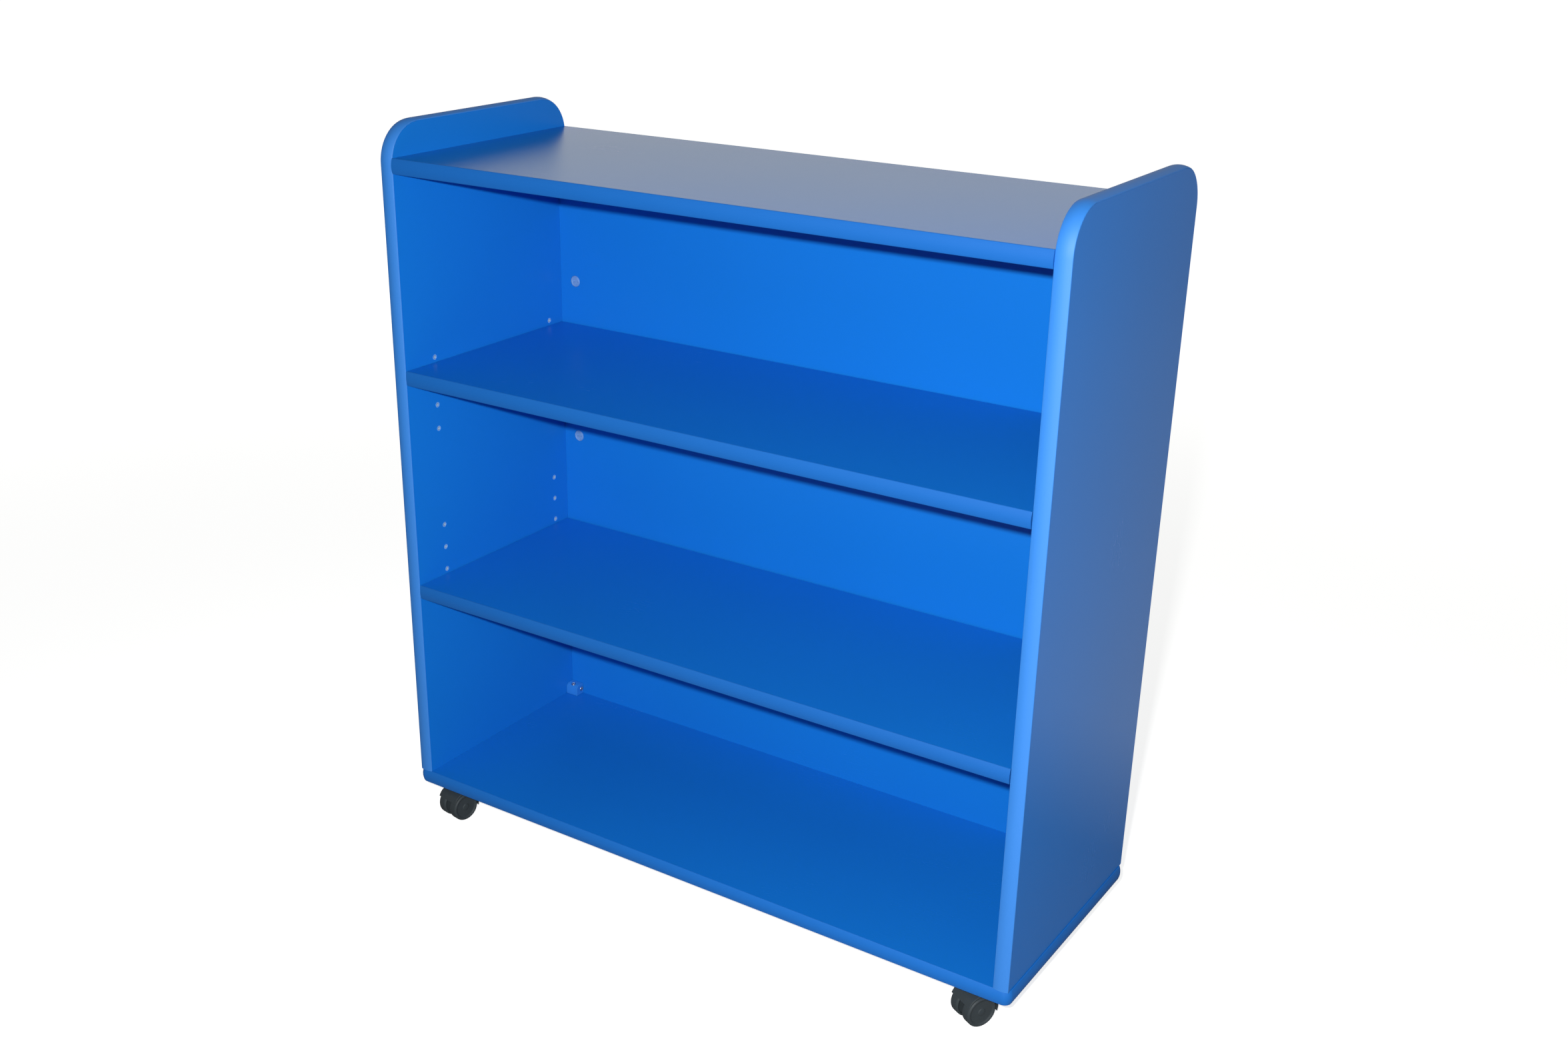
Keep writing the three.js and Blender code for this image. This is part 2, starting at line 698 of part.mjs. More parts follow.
function castorBody() {
  const inside = wheelRadius + wheelGap;
  const halfHood = wheelOuter - hubGap;
  const arch = new THREE.Shape([
    ...aboutAxle(hoodRadius, hoodFrontDegrees, hoodRearDegrees, hoodSteps),
    ...aboutAxle(inside, hoodRearDegrees, hoodFrontDegrees, hoodSteps),
  ]);
  const hood = slab(arch, Y, Z, -halfHood, 2 * halfHood);
  const bossFoot = new THREE.Vector3(0, 0, wheelRadius);
  const boss = bar(bossFoot, Z, bossTop - wheelRadius, swivelBossRadius, bossSides);
  const wheelRoom = bar(axlePoint.clone().addScaledVector(X, -wheelOuter - overrun), X,
    2 * (wheelOuter + overrun), inside, 2 * hoodSteps);
  const collar = cut(boss, [wheelRoom]);
  const sector = new THREE.Shape([
    ...aboutAxle(inside + hoodThickness / 2, hoodFrontDegrees, hoodRearDegrees, hoodSteps),
    ...aboutAxle(axleBossRadius, hoodRearDegrees, hoodFrontDegrees, hoodSteps / 2),
  ]);
  const web = slab(sector, Y, Z, -webThickness / 2, webThickness);
  const hub = bar(axlePoint.clone().addScaledVector(X, -webThickness / 2), X, webThickness,
    axleBossRadius, bossSides);
  const pinBore = bar(new THREE.Vector3(0, 0, bossTop - swivelPinLength - fitGap), Z,
    swivelPinLength + fitGap + overrun, swivelPinRadius + fitGap, bossSides);
  const axleBore = bar(axlePoint.clone().addScaledVector(X, -webThickness), X, 2 * webThickness,
    axleRadius + fitGap, holeSides);
  return cut(join([hood, collar, web, hub]), [pinBore, axleBore]);
}

// Half of the wheel's section: a dished outer face, a rounded tread, a hollow inner face and a blind
// bore for the axle. The flats of the faceted tread touch the floor.
function wheel(hand) {
  const rim = wheelRadius / Math.cos(Math.PI / wheelSides);
  const profile = [
    [0, wheelOuter - dishDepth / 2],
    [hubRadius, wheelOuter - dishDepth],
    [rim - rimWidth - treadRounding, wheelOuter - dishDepth],
    [rim - rimWidth, wheelOuter],
    [rim, wheelOuter - treadRounding],
    [rim, wheelInner + treadRounding],
    [rim - rimWidth, wheelInner],
    [rim - rimWidth, wheelInner + innerRecess],
    [hubRadius, wheelInner + innerRecess],
    [hubRadius, wheelInner],
    [axleRadius + fitGap, wheelInner],
    [axleRadius + fitGap, wheelInner + axleReach + fitGap],
    [0, wheelInner + axleReach + fitGap],
  ];
  const tilt = new THREE.Matrix4().makeRotationX(Math.PI / wheelSides);
  const drawn = revolved(profile, new THREE.Vector3(), X, wheelSides).applyMatrix4(tilt);
  const placed = drawn.rotateZ(hand < 0 ? Math.PI : 0);
  return placed.translate(axlePoint.x, axlePoint.y, axlePoint.z);
}

function axle() {
  const half = wheelInner + axleReach;
  return bar(axlePoint.clone().addScaledVector(X, -half), X, 2 * half, axleRadius, holeSides);
}

Object.entries(castorTurns).forEach(([corner, degrees]) => {
  const [end, side] = corner.split('_');
  const stand = new THREE.Group();
  const rear = end === 'rear' ? 1 : -1;
  stand.position.set(hands[side] * (caseWidth / 2 - castorInset), rear * (caseDepth / 2 - castorInset), 0);
  bookcase.add(stand);
  addPiece(`castor_${corner}_plate`, 'zinc', castorPlate(), stand);
  const swivel = new THREE.Group();
  swivel.rotation.z = THREE.MathUtils.degToRad(degrees);
  stand.add(swivel);
  addPiece(`castor_${corner}_hood`, 'nylon', castorBody(), swivel);
  addPiece(`castor_${corner}_axle`, 'steel', axle(), swivel);
  Object.entries(hands).forEach(([wheelSide, hand]) => {
    addPiece(`castor_${corner}_wheel_${wheelSide}`, 'nylon', wheel(hand), swivel);
  });
});

export default bookcase;
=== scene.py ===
# %% [markdown]
# # A bookcase on castors
#
# The object is a small mobile bookcase of blue faced board. Two sides with rounded top corners
# stand on a wide base, a top board and a full back panel join them, two loose shelves lie on
# pegged supports, and four hooded castors carry it.
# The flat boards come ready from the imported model, so this script adds what the eye sees on them:
# the crowned edging, the small fittings, the screws, the finishes and the light.
# Every size is in metres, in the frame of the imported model: +X to the right, +Y to the back, +Z up.

import math

import bmesh
import bpy
import numpy as np
from mathutils import Matrix, Vector


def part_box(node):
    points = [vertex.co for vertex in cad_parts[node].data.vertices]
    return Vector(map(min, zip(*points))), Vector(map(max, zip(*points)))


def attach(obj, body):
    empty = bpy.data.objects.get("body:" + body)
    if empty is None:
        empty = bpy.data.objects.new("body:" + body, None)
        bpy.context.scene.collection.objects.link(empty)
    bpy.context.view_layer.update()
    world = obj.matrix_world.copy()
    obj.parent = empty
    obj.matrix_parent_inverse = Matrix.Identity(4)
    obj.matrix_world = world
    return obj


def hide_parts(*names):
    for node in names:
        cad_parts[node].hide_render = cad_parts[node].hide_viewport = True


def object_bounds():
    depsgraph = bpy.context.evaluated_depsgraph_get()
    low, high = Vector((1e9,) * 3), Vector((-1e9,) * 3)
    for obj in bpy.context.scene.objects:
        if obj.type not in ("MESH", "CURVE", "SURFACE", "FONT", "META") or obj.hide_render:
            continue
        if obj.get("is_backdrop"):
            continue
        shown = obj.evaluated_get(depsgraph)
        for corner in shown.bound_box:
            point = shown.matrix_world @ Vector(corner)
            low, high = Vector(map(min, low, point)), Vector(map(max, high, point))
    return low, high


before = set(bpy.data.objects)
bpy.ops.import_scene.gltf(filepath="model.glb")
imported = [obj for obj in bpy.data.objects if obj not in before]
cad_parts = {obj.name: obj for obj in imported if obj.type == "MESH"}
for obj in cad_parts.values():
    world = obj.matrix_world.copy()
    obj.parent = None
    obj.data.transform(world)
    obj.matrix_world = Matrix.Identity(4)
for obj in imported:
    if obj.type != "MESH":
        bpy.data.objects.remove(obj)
cad_low, cad_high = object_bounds()
print("box of the model:", [round(v, 4) for v in (*cad_low, *cad_high)])

# %% [markdown]
# ## The camera
#
# A camera can be placed by eye, but a box-shaped object gives something better: its straight edges
# lead to vanishing points, and these give the lens and the direction of view. The numbers below
# come from such a fit, refined until the edges of the finished bookcase lay on those of the
# photograph. The middle of the lens doesn't fall on the middle of the picture, which the camera's
# shift expresses.

# %% Place the camera
PICTURE_WIDTH = 2352
PICTURE_HEIGHT = 1568
FOCAL_PIXELS = 2578.2
LENS_MIDDLE_PIXEL = (1073.4, 866.3)
AZIMUTH = math.radians(34.289)
ELEVATION = math.radians(23.0)
ROLL = math.radians(0.43)
eye = Vector((1.0783, -1.6792, 1.2638))

level_right = Vector((math.cos(AZIMUTH), math.sin(AZIMUTH), 0))
backwards = Vector((
    math.sin(AZIMUTH) * math.cos(ELEVATION),
    -math.cos(AZIMUTH) * math.cos(ELEVATION),
    math.sin(ELEVATION)))
level_up = backwards.cross(level_right)
right = math.cos(ROLL) * level_right + math.sin(ROLL) * level_up
up = math.cos(ROLL) * level_up - math.sin(ROLL) * level_right

camera_data = bpy.data.cameras.new("camera")
camera_data.lens = FOCAL_PIXELS / PICTURE_WIDTH * camera_data.sensor_width
camera_data.shift_x = (PICTURE_WIDTH / 2 - LENS_MIDDLE_PIXEL[0]) / PICTURE_WIDTH
camera_data.shift_y = (LENS_MIDDLE_PIXEL[1] - PICTURE_HEIGHT / 2) / PICTURE_WIDTH
camera = bpy.data.objects.new("camera", camera_data)
camera.matrix_world = Matrix((
    (right.x, up.x, backwards.x, eye.x),
    (right.y, up.y, backwards.y, eye.y),
    (right.z, up.z, backwards.z, eye.z),
    (0, 0, 0, 1)))
bpy.context.scene.collection.objects.link(camera)
bpy.context.scene.camera = camera
print("lens:", round(camera_data.lens, 2), "mm, shift:",
      round(camera_data.shift_x, 4), round(camera_data.shift_y, 4))

# %% [markdown]
# ## Surfaces from arrays
#
# Each new piece is a surface worked out with arrays: a grid of points, and the quads that join
# each point to its neighbours. Two forms do most of the work. A swept form carries a section along
# a path, as a moulding does. A revolved form turns a profile about an axis, as a lathe does.
# A rounded corner is a quadratic curve, which is near enough to an arc at these small sizes.

# %% Quads of a grid
MM = 0.001
DOUBLED, TINY = 1e-7, 1e-12


def grid_faces(rows, columns, wrap_rows=False, wrap_columns=False):
    """Quads of a grid: cell (i, j) joins point (i, j) to its next neighbours, wrapped if asked."""
    i, j = np.meshgrid(
        np.arange(rows if wrap_rows else rows - 1),
        np.arange(columns if wrap_columns else columns - 1), indexing="ij")
    i2, j2 = (i + 1) % rows, (j + 1) % columns
    corners = [i * columns + j, i * columns + j2, i2 * columns + j2, i2 * columns + j]
    return np.stack(corners, axis=-1).reshape(-1, 4)


def rounded(corners, radii, steps=5, closed=True):
    """Rounds the corners of an outline.

    Corner C becomes the curve (1-t)^2 A + 2 t (1-t) C + t^2 B, where A and B lie a radius away
    from C towards its two neighbours, at most half way to them. Doubled points are left out.
    """
    corners = np.array(corners, float)
    radii = np.broadcast_to(np.array(radii, float), len(corners)).copy()
    if not closed:
        radii[[0, -1]] = 0
    legs = [np.roll(corners, shift, axis=0) - corners for shift in (1, -1)]
    lengths = [np.maximum(np.linalg.norm(leg, axis=1), TINY) for leg in legs]
    reach = np.minimum(radii, np.minimum(lengths[0], lengths[1]) / 2)
    a, b = (corners + leg / length[:, None] * reach[:, None] for leg, length in zip(legs, lengths))
    t = np.linspace(0, 1, steps)[None, :, None]
    points = (1 - t) ** 2 * a[:, None] + 2 * t * (1 - t) * corners[:, None] + t ** 2 * b[:, None]
    points = points.reshape(-1, 2)
    apart = np.linalg.norm(points - np.roll(points, 1, axis=0), axis=1) > DOUBLED
    return points[apart]


print("quads of a grid of 3 by 4 points:", len(grid_faces(3, 4)))

# %% Sweep and revolve
def unit(vector):
    """The vector's direction, at a length of 1."""
    vector = np.array(vector, float)
    return vector / np.linalg.norm(vector)


def swept(section, places, across, out, closed=False):
    """Carries a section along a path.

    Point (i, j) is place i, plus the section's first number j times the across direction there,
    plus its second number times the outward direction. Open ends are closed with a flat face.
    """
    section = np.array(section, float)
    places, across, out = np.broadcast_arrays(*(np.array(v, float) for v in (places, across, out)))
    points = (places[:, None] + section[None, :, :1] * across[:, None]
              + section[None, :, 1:] * out[:, None])
    rows, columns = points.shape[:2]
    faces = [grid_faces(rows, columns, wrap_rows=closed, wrap_columns=True)]
    if not closed:
        faces += [np.arange(columns)[None, ::-1], (rows - 1) * columns + np.arange(columns)[None]]
    return points.reshape(-1, 3), faces


def basis(axis):
    """Two directions square to an axis and to each other."""
    axis = unit(axis)
    helper = (1, 0, 0) if abs(axis[0]) < 0.9 else (0, 1, 0)
    first = unit(np.cross(axis, helper))
    return first, np.cross(axis, first)


def revolved(profile, start, axis, steps=64):
    """Turns a profile of (radius, height) about an axis.

    Point (i, j) is the start, plus radius j times the direction at angle i, plus height j times
    the axis. The profile begins and ends on the axis, so the form is closed.
    """
    profile = np.array(profile, float)
    first, second = basis(axis)
    turn = np.linspace(0, 2 * math.pi, steps, endpoint=False)[:, None, None]
    radius, height = profile[None, :, :1], profile[None, :, 1:]
    points = (np.array(start, float) + radius * (np.cos(turn) * first + np.sin(turn) * second)
              + height * unit(axis))
    return points.reshape(-1, 3), [grid_faces(steps, len(profile), wrap_rows=True)]


cone, _ = revolved([(0, 0), (1, 0), (0, 1)], (0, 0, 0), (0, 0, 1), steps=8)
print("points of a cone turned in 8 steps:", len(cone))

# %% Make an object of surfaces
MERGE = 1e-6
FLAT_ANGLE = math.radians(1)
ARRIS_ANGLE = math.radians(50)
ARRIS_SEGMENTS = 3


def make_piece(name, parts, material, body, replaces=(), sharp=40, soften=0.0):
    """One object from surfaces: doubled points merge and all faces turn outwards.

    Edges over the sharp angle stay sharp, unless soften gives a width: then flat regions are
    joined and a Bevel modifier rounds those edges.
    """
    points = np.concatenate([part[0] for part in parts])
    starts = np.cumsum([0] + [len(part[0]) for part in parts])
    faces = [face for (_, groups), start in zip(parts, starts) for group in groups
             for face in (np.asarray(group) + start).tolist()]
    mesh = bpy.data.meshes.new(name)
    mesh.from_pydata(points.tolist(), [], faces)
    work = bmesh.new()
    work.from_mesh(mesh)
    bmesh.ops.remove_doubles(work, verts=work.verts, dist=MERGE)
    bmesh.ops.dissolve_degenerate(work, edges=work.edges, dist=MERGE)
    if soften:
        bmesh.ops.dissolve_limit(work, angle_limit=FLAT_ANGLE, verts=work.verts, edges=work.edges)
    bmesh.ops.recalc_face_normals(work, faces=work.faces)
    work.to_mesh(mesh)
    work.free()
    mesh.shade_smooth()
    piece = bpy.data.objects.new(name, mesh)
    bpy.context.scene.collection.objects.link(piece)
    if soften:
        bevel = piece.modifiers.new("rounded_arrises", "BEVEL")
        bevel.width = soften
        bevel.segments = ARRIS_SEGMENTS
        bevel.limit_method = "ANGLE"
        bevel.angle_limit = ARRIS_ANGLE
        bevel.harden_normals = True
    else:
        mesh.set_sharp_from_angle(angle=math.radians(sharp))
    mesh.materials.append(material)
    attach(piece, body)
    if replaces:
        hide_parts(*replaces)


def node_surface(node):
    """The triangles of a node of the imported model, as a surface for make_piece."""
    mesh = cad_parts[node].data
    points = np.zeros(len(mesh.vertices) * 3)
    mesh.vertices.foreach_get("co", points)
    mesh.calc_loop_triangles()
    triangles = np.zeros(len(mesh.loop_triangles) * 3, int)
    mesh.loop_triangles.foreach_get("vertices", triangles)
    return points.reshape(-1, 3), [triangles.reshape(-1, 3)]


# %% [markdown]
# ## Tools for materials
#
# A material is a graph of nodes. Small helpers keep the graphs short to write: one adds a node and
# sets or links its inputs, another makes a node group, which is an effect that several materials
# share. A group puts out only values and colours; the shader itself stays in each material.

# %% Add nodes and groups
def feed(tree, socket, value):
    """Links an input to a given socket, or sets any other value on it."""
    if isinstance(value, bpy.types.NodeSocket):
        tree.links.new(value, socket)
    else:
        socket.default_value = value


def node(tree, kind, inputs=None, **settings):
    """Adds a node with its settings, and feeds its inputs."""
    made = tree.nodes.new(kind)
    for key, value in settings.items():
        setattr(made, key, value)
    for key, value in (inputs or {}).items():
        feed(tree, made.inputs[key], value)
    return made


def math_node(tree, operation, *values):
    return node(tree, "ShaderNodeMath", dict(enumerate(values)), operation=operation).outputs[0]


def vector_node(tree, operation, *values):
    made = node(tree, "ShaderNodeVectorMath", dict(enumerate(values)), operation=operation)
    return made.outputs[0]


def mixed(tree, factor, first, second):
    """A colour between two, by a factor."""
    mix = node(tree, "ShaderNodeMix", data_type="RGBA")
    # The node has sockets for every kind of data: 6 and 7 in, and 2 out, are those for colours.
    for index, value in ((0, factor), (6, first), (7, second)):
        feed(tree, mix.inputs[index], value)
    return mix.outputs[2]


def new_group(name, inputs, outputs):
    """An empty node group with named sockets, and its input and output nodes."""
    group = bpy.data.node_groups.new(name, "ShaderNodeTree")
    for label, kind, default in inputs:
        socket = group.interface.new_socket(name=label, in_out="INPUT", socket_type=kind)
        if default is not None:
            socket.default_value = default
    for label, kind in outputs:
        group.interface.new_socket(name=label, in_out="OUTPUT", socket_type=kind)
    given, result = group.nodes.new("NodeGroupInput"), group.nodes.new("NodeGroupOutput")
    return group, given.outputs, result.inputs


def use_group(tree, group, **values):
    """Places a group in a material, with its own values."""
    return node(tree, "ShaderNodeGroup", values, node_tree=group).outputs


def noise(tree, place, scale, detail):
    """A soft pattern of values round a half."""
    made = node(tree, "ShaderNodeTexNoise", {"Vector": place, "Scale": scale, "Detail": detail})
    return made.outputs[0]


def ramp(tree, value, start, end, low=0.0, high=1.0, kind="LINEAR"):
    """Goes from low to high while the value goes from start to end."""
    return node(tree, "ShaderNodeMapRange", {
        "Value": value, "From Min": start, "From Max": end, "To Min": low, "To Max": high},
        interpolation_type=kind).outputs[0]


# %% [markdown]
# ## Shared effects
#
# Four effects come back on many finishes. A fine grain is pressed or moulded into board facing and
# plastic. Soft clouds make a colour a little lighter and darker from place to place, because no
# real surface is one flat value. Rub marks are the fine lines that cleaning leaves. The board core
# is chipboard that shows wherever a hole or groove cuts through the facing. Drilling drags blue
# dust into it, so its chips are a pale blue here and not the brown of bare wood.

# %% Grain, clouds and rub marks
FLOAT, COLOR, VECTOR = "NodeSocketFloat", "NodeSocketColor", "NodeSocketVector"
COARSE_SCALE, COARSE_SHARE = 0.3, 0.6
RUB_ANGLES = (0.12, -0.2)
RUB_PATCHES = 9.0

grain_group, given, result = new_group(
    "pressed grain", [("Place", VECTOR, None), ("Scale", FLOAT, 900.0)], [("Height", FLOAT)])
tree = grain_group
fine = noise(tree, given["Place"], given["Scale"], 3.0)
coarse_scale = math_node(tree, "MULTIPLY", given["Scale"], COARSE_SCALE)
coarse = noise(tree, given["Place"], coarse_scale, 2.0)
weighted = math_node(tree, "MULTIPLY_ADD", coarse, COARSE_SHARE, fine)
tree.links.new(weighted, result["Height"])

cloud_group, given, result = new_group(
    "soft clouds", [("Place", VECTOR, None), ("Scale", FLOAT, 6.0), ("Amount", FLOAT, 0.05)],
    [("Factor", FLOAT)])
tree = cloud_group
cloud = noise(tree, given["Place"], given["Scale"], 4.0)
centred = math_node(tree, "SUBTRACT", cloud, 0.5)
swing = math_node(tree, "MULTIPLY", centred, given["Amount"])
tree.links.new(math_node(tree, "MULTIPLY_ADD", swing, 2.0, 1.0), result["Factor"])

rub_group, given, result = new_group(
    "rub marks",
    [("Place", VECTOR, None), ("Squeeze", VECTOR, (1, 16, 16)), ("Scale", FLOAT, 30.0),
     ("Width", FLOAT, 0.02)],
    [("Mask", FLOAT)])
tree = rub_group
masks = []
for angle in RUB_ANGLES:
    turned = node(tree, "ShaderNodeMapping", {"Vector": given["Place"], "Rotation": (angle,) * 3})
    squeezed = vector_node(tree, "MULTIPLY", turned.outputs[0], given["Squeeze"])
    lines = noise(tree, squeezed, given["Scale"], 1.0)
    off_middle = math_node(tree, "ABSOLUTE", math_node(tree, "SUBTRACT", lines, 0.5))
    ratio = math_node(tree, "DIVIDE", off_middle, given["Width"])
    masks.append(math_node(tree, "SUBTRACT", 1.0, math_node(tree, "MINIMUM", ratio, 1.0)))
patches = noise(tree, given["Place"], RUB_PATCHES, 2.0)
where = ramp(tree, patches, 0.5, 0.7)
all_lines = math_node(tree, "MAXIMUM", *masks)
tree.links.new(math_node(tree, "MULTIPLY", all_lines, where), result["Mask"])
print("shared effects:", [g.name for g in bpy.data.node_groups])

# %% Chipboard core
SKIN_THICKNESS = 0.3 * MM
CHIP_SCALE = 900.0
core_group, given, result = new_group(
    "board core",
    [("Place", VECTOR, None), ("Middle", VECTOR, None), ("Half", VECTOR, None),
     ("Skin", FLOAT, SKIN_THICKNESS)],
    [("Mask", FLOAT), ("Color", COLOR), ("Height", FLOAT)])
tree = core_group
offset = vector_node(tree, "SUBTRACT", given["Place"], given["Middle"])
past_half = vector_node(tree, "SUBTRACT", vector_node(tree, "ABSOLUTE", offset), given["Half"])
past = node(tree, "ShaderNodeSeparateXYZ", {0: past_half}).outputs
furthest = math_node(tree, "MAXIMUM", math_node(tree, "MAXIMUM", past[0], past[1]), past[2])
depth = math_node(tree, "ADD", furthest, given["Skin"])
tree.links.new(math_node(tree, "LESS_THAN", depth, 0.0), result["Mask"])
chips = node(tree, "ShaderNodeTexVoronoi", {"Vector": given["Place"], "Scale": CHIP_SCALE})
shade = node(tree, "ShaderNodeSeparateColor", {0: chips.outputs["Color"]})
pale_chip, dark_chip = (0.34, 0.50, 0.72, 1), (0.20, 0.32, 0.52, 1)
tree.links.new(mixed(tree, shade.outputs[0], pale_chip, dark_chip), result["Color"])
tree.links.new(chips.outputs["Distance"], result["Height"])
print("the core's outputs:", [socket.name for socket in result if socket.name])

# %% [markdown]
# ## Faced board
#
# The boards are chipboard pressed with a blue melamine sheet. The facing is satin, with a fine
# pearl grain that only shows in reflections. A picture of such a board would do for one view, but
# a grain worked out from the place in space fits every board and never repeats. The core shows
# inside the peg holes, so the material asks whether a point lies within the board's skin.

# %% Board material
BOARD_BLUE = (0.0065, 0.168, 0.595)
BOARD_ROUGHNESS = 0.27
BOARD_GLOSS = 0.18
CORE_ROUGHNESS = 0.9
CORE_PITS = 6.0
RUB_DULLING = 0.003
RUB_SQUEEZE = 16.0
GRAIN_DEPTH = 0.02 * MM


def principled(name):
    """A new material: its tree, its shader and its Object coordinates."""
    material = bpy.data.materials.new(name)
    material.use_nodes = True
    tree = material.node_tree
    shader = tree.nodes["Principled BSDF"]
    place = node(tree, "ShaderNodeTexCoord").outputs["Object"]
    return material, tree, shader, place


def shaded(tree, color, factor):
    """A colour made lighter or darker by a factor."""
    factors = node(tree, "ShaderNodeCombineXYZ", {0: factor, 1: factor, 2: factor})
    return vector_node(tree, "MULTIPLY", color, factors.outputs[0])


def link_bump(tree, shader, height, distance):
    bump = node(tree, "ShaderNodeBump", {"Height": height, "Distance": distance, "Strength": 1.0})
    tree.links.new(bump.outputs[0], shader.inputs["Normal"])


def faced_board(board):
    """The finish of one board: blue facing, and pale core where the facing is cut through."""
    low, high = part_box(board)
    material, tree, shader, place = principled(f"faced {board.replace('_', ' ')}")
    clouds = use_group(tree, cloud_group, Place=place, Scale=5.0, Amount=0.03)["Factor"]
    grain = use_group(tree, grain_group, Place=place, Scale=1100.0)["Height"]
    along = int(np.argmax(high - low))
    squeeze = [1.0 if axis == along else RUB_SQUEEZE for axis in range(3)]
    rubs = use_group(tree, rub_group, Place=place, Squeeze=squeeze, Scale=8.0, Width=0.012)["Mask"]
    core = use_group(tree, core_group, Place=place, Middle=(low + high) / 2, Half=(high - low) / 2)
    blue = shaded(tree, BOARD_BLUE, clouds)
    tree.links.new(mixed(tree, core["Mask"], blue, core["Color"]), shader.inputs["Base Color"])
    satin = math_node(tree, "MULTIPLY", clouds, BOARD_ROUGHNESS)
    rubbed = math_node(tree, "MULTIPLY_ADD", rubs, RUB_DULLING, satin)
    rough = node(tree, "ShaderNodeMix", {"Factor": core["Mask"], "A": rubbed, "B": CORE_ROUGHNESS})
    tree.links.new(rough.outputs[0], shader.inputs["Roughness"])
    pits = math_node(tree, "MULTIPLY", core["Mask"], CORE_PITS)
    pitted = math_node(tree, "MULTIPLY", core["Height"], pits)
    link_bump(tree, shader, math_node(tree, "ADD", grain, pitted), GRAIN_DEPTH)
    shader.inputs["Specular IOR Level"].default_value = BOARD_GLOSS
    return material


boards = [
    "side_left", "side_right", "base", "back_panel", "top_board", "shelf_lower", "shelf_upper"]
for board in boards:
    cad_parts[board].data.materials.clear()
    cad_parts[board].data.materials.append(faced_board(board))
print("faced boards:", boards)

# %% [markdown]
# ## Crowned edging
#
# Every visible board edge carries a plastic strip, drawn through a die, with a crowned face and a
# barbed stem that is driven into a groove. A bevel on the board could fake it, but the real strip
# stands out from the board and bends round the corners, so it is swept: one section, carried along
# the edge. The strip is a little lighter than the facing and has faint lines along its length.
# The strips come in three tones here: the sides have the lightest, top board and shelves a deeper
# one, and the strip round the base is a little paler than that, which is painted light on the same
# plastic.

# %% Edging material
LIGHT_EDGING_BLUE = (0.016, 0.187, 0.610)
DEEP_EDGING_BLUE = (0.0005, 0.110, 0.420)
# The base strip's paler blue is painted light: the same plastic as the top and shelves, made lighter
# for the brighter light on the base.
BASE_EDGING_PAINTED_LIGHT_BLUE = (0.001, 0.128, 0.484)
LIGHT_GLOSS, DEEP_GLOSS = 0.8, 0.4
EDGING_ROUGHNESS, LINE_ROUGHNESS = 0.60, 0.12


def edging_finish(name, blue, gloss, line_scale):
    """The strip's finish. line_scale stretches the noise: large across the strip, small along."""
    material, tree, shader, place = principled(name)
    clouds = use_group(tree, cloud_group, Place=place, Scale=4.0, Amount=0.04)["Factor"]
    stretched = node(tree, "ShaderNodeMapping", {"Vector": place, "Scale": line_scale}).outputs[0]
    lines = noise(tree, stretched, 1.0, 2.0)
    grain = use_group(tree, grain_group, Place=place, Scale=1600.0)["Height"]
    tree.links.new(shaded(tree, blue, clouds), shader.inputs["Base Color"])
    rough = math_node(tree, "MULTIPLY_ADD", lines, LINE_ROUGHNESS, EDGING_ROUGHNESS)
    tree.links.new(rough, shader.inputs["Roughness"])
    height = math_node(tree, "MULTIPLY_ADD", lines, 1.5, math_node(tree, "MULTIPLY", grain, 0.5))
    link_bump(tree, shader, height, GRAIN_DEPTH)
    shader.inputs["Specular IOR Level"].default_value = gloss
    return material


ACROSS_LINES, ALONG_LINES = 1400.0, 3.0
upright_lines = (ACROSS_LINES, ALONG_LINES, ALONG_LINES)
level_lines = (ALONG_LINES, ALONG_LINES, ACROSS_LINES)
side_edging_finish = edging_finish(
    "edging of the sides", LIGHT_EDGING_BLUE, LIGHT_GLOSS, upright_lines)
flat_edging_finish = edging_finish(
    "edging of top and shelves", DEEP_EDGING_BLUE, DEEP_GLOSS, level_lines)
base_edging_finish = edging_finish(
    "edging of the base", BASE_EDGING_PAINTED_LIGHT_BLUE, DEEP_GLOSS, level_lines)
print("edging finishes:",
      [finish.name for finish in (side_edging_finish, flat_edging_finish, base_edging_finish)])

# %% Edging section
board_thickness = 19 * MM
lip_thickness = 1 * MM
crown_height = 2 * MM
lip_rounding = 0.5 * MM
foot_rounding = 0.15 * MM
stem_thickness = 1.6 * MM
stem_depth = 8 * MM
barb_reach = 0.5 * MM
barb_length = 2 * MM
barb_starts = np.array([2.4, 5.0]) * MM


def edging_section(crown_steps=18):
    """The strip's outline: first number across the board, second out of its edge.

    The crown is the lip's thickness plus the crown's height times (1 - s^2), with s from -1 to 1.
    """
    half = board_thickness / 2
    s = np.linspace(1, -1, crown_steps + 1)
    crown = np.column_stack([half * s, lip_thickness + crown_height * (1 - s ** 2)])
    head = [(half, 0), *crown, (-half, 0)]
    radii = [foot_rounding, lip_rounding, *[0] * (crown_steps - 1), lip_rounding, foot_rounding]
    flank = [(stem_thickness / 2, 0)]
    for start in barb_starts:
        flank += [(stem_thickness / 2, -start), (stem_thickness / 2 + barb_reach, -start),
                  (stem_thickness / 2, -start - barb_length)]
    flank += [(stem_thickness / 4, -stem_depth)]
    stem = [(-u, v) for u, v in flank] + flank[::-1]
    return rounded(head + stem, radii + [0] * len(stem))


section = edging_section()
print("edging section:", len(section), "points")

# %% Edging of the sides
CORNER_STEPS = 28
corner_radius = 47 * MM


def arc(centre, radius, start, end, steps, plane):
    """Points round a centre and the outward direction at each, in the plane of two axes."""
    angle = np.linspace(start, end, steps)[:, None]
    first, second = (np.array(axis, float) for axis in plane)
    out = np.cos(angle) * first + np.sin(angle) * second
    return np.array(centre, float) + radius * out, out


X_AXIS, Y_AXIS, Z_AXIS = np.eye(3)
QUARTER = math.pi / 2

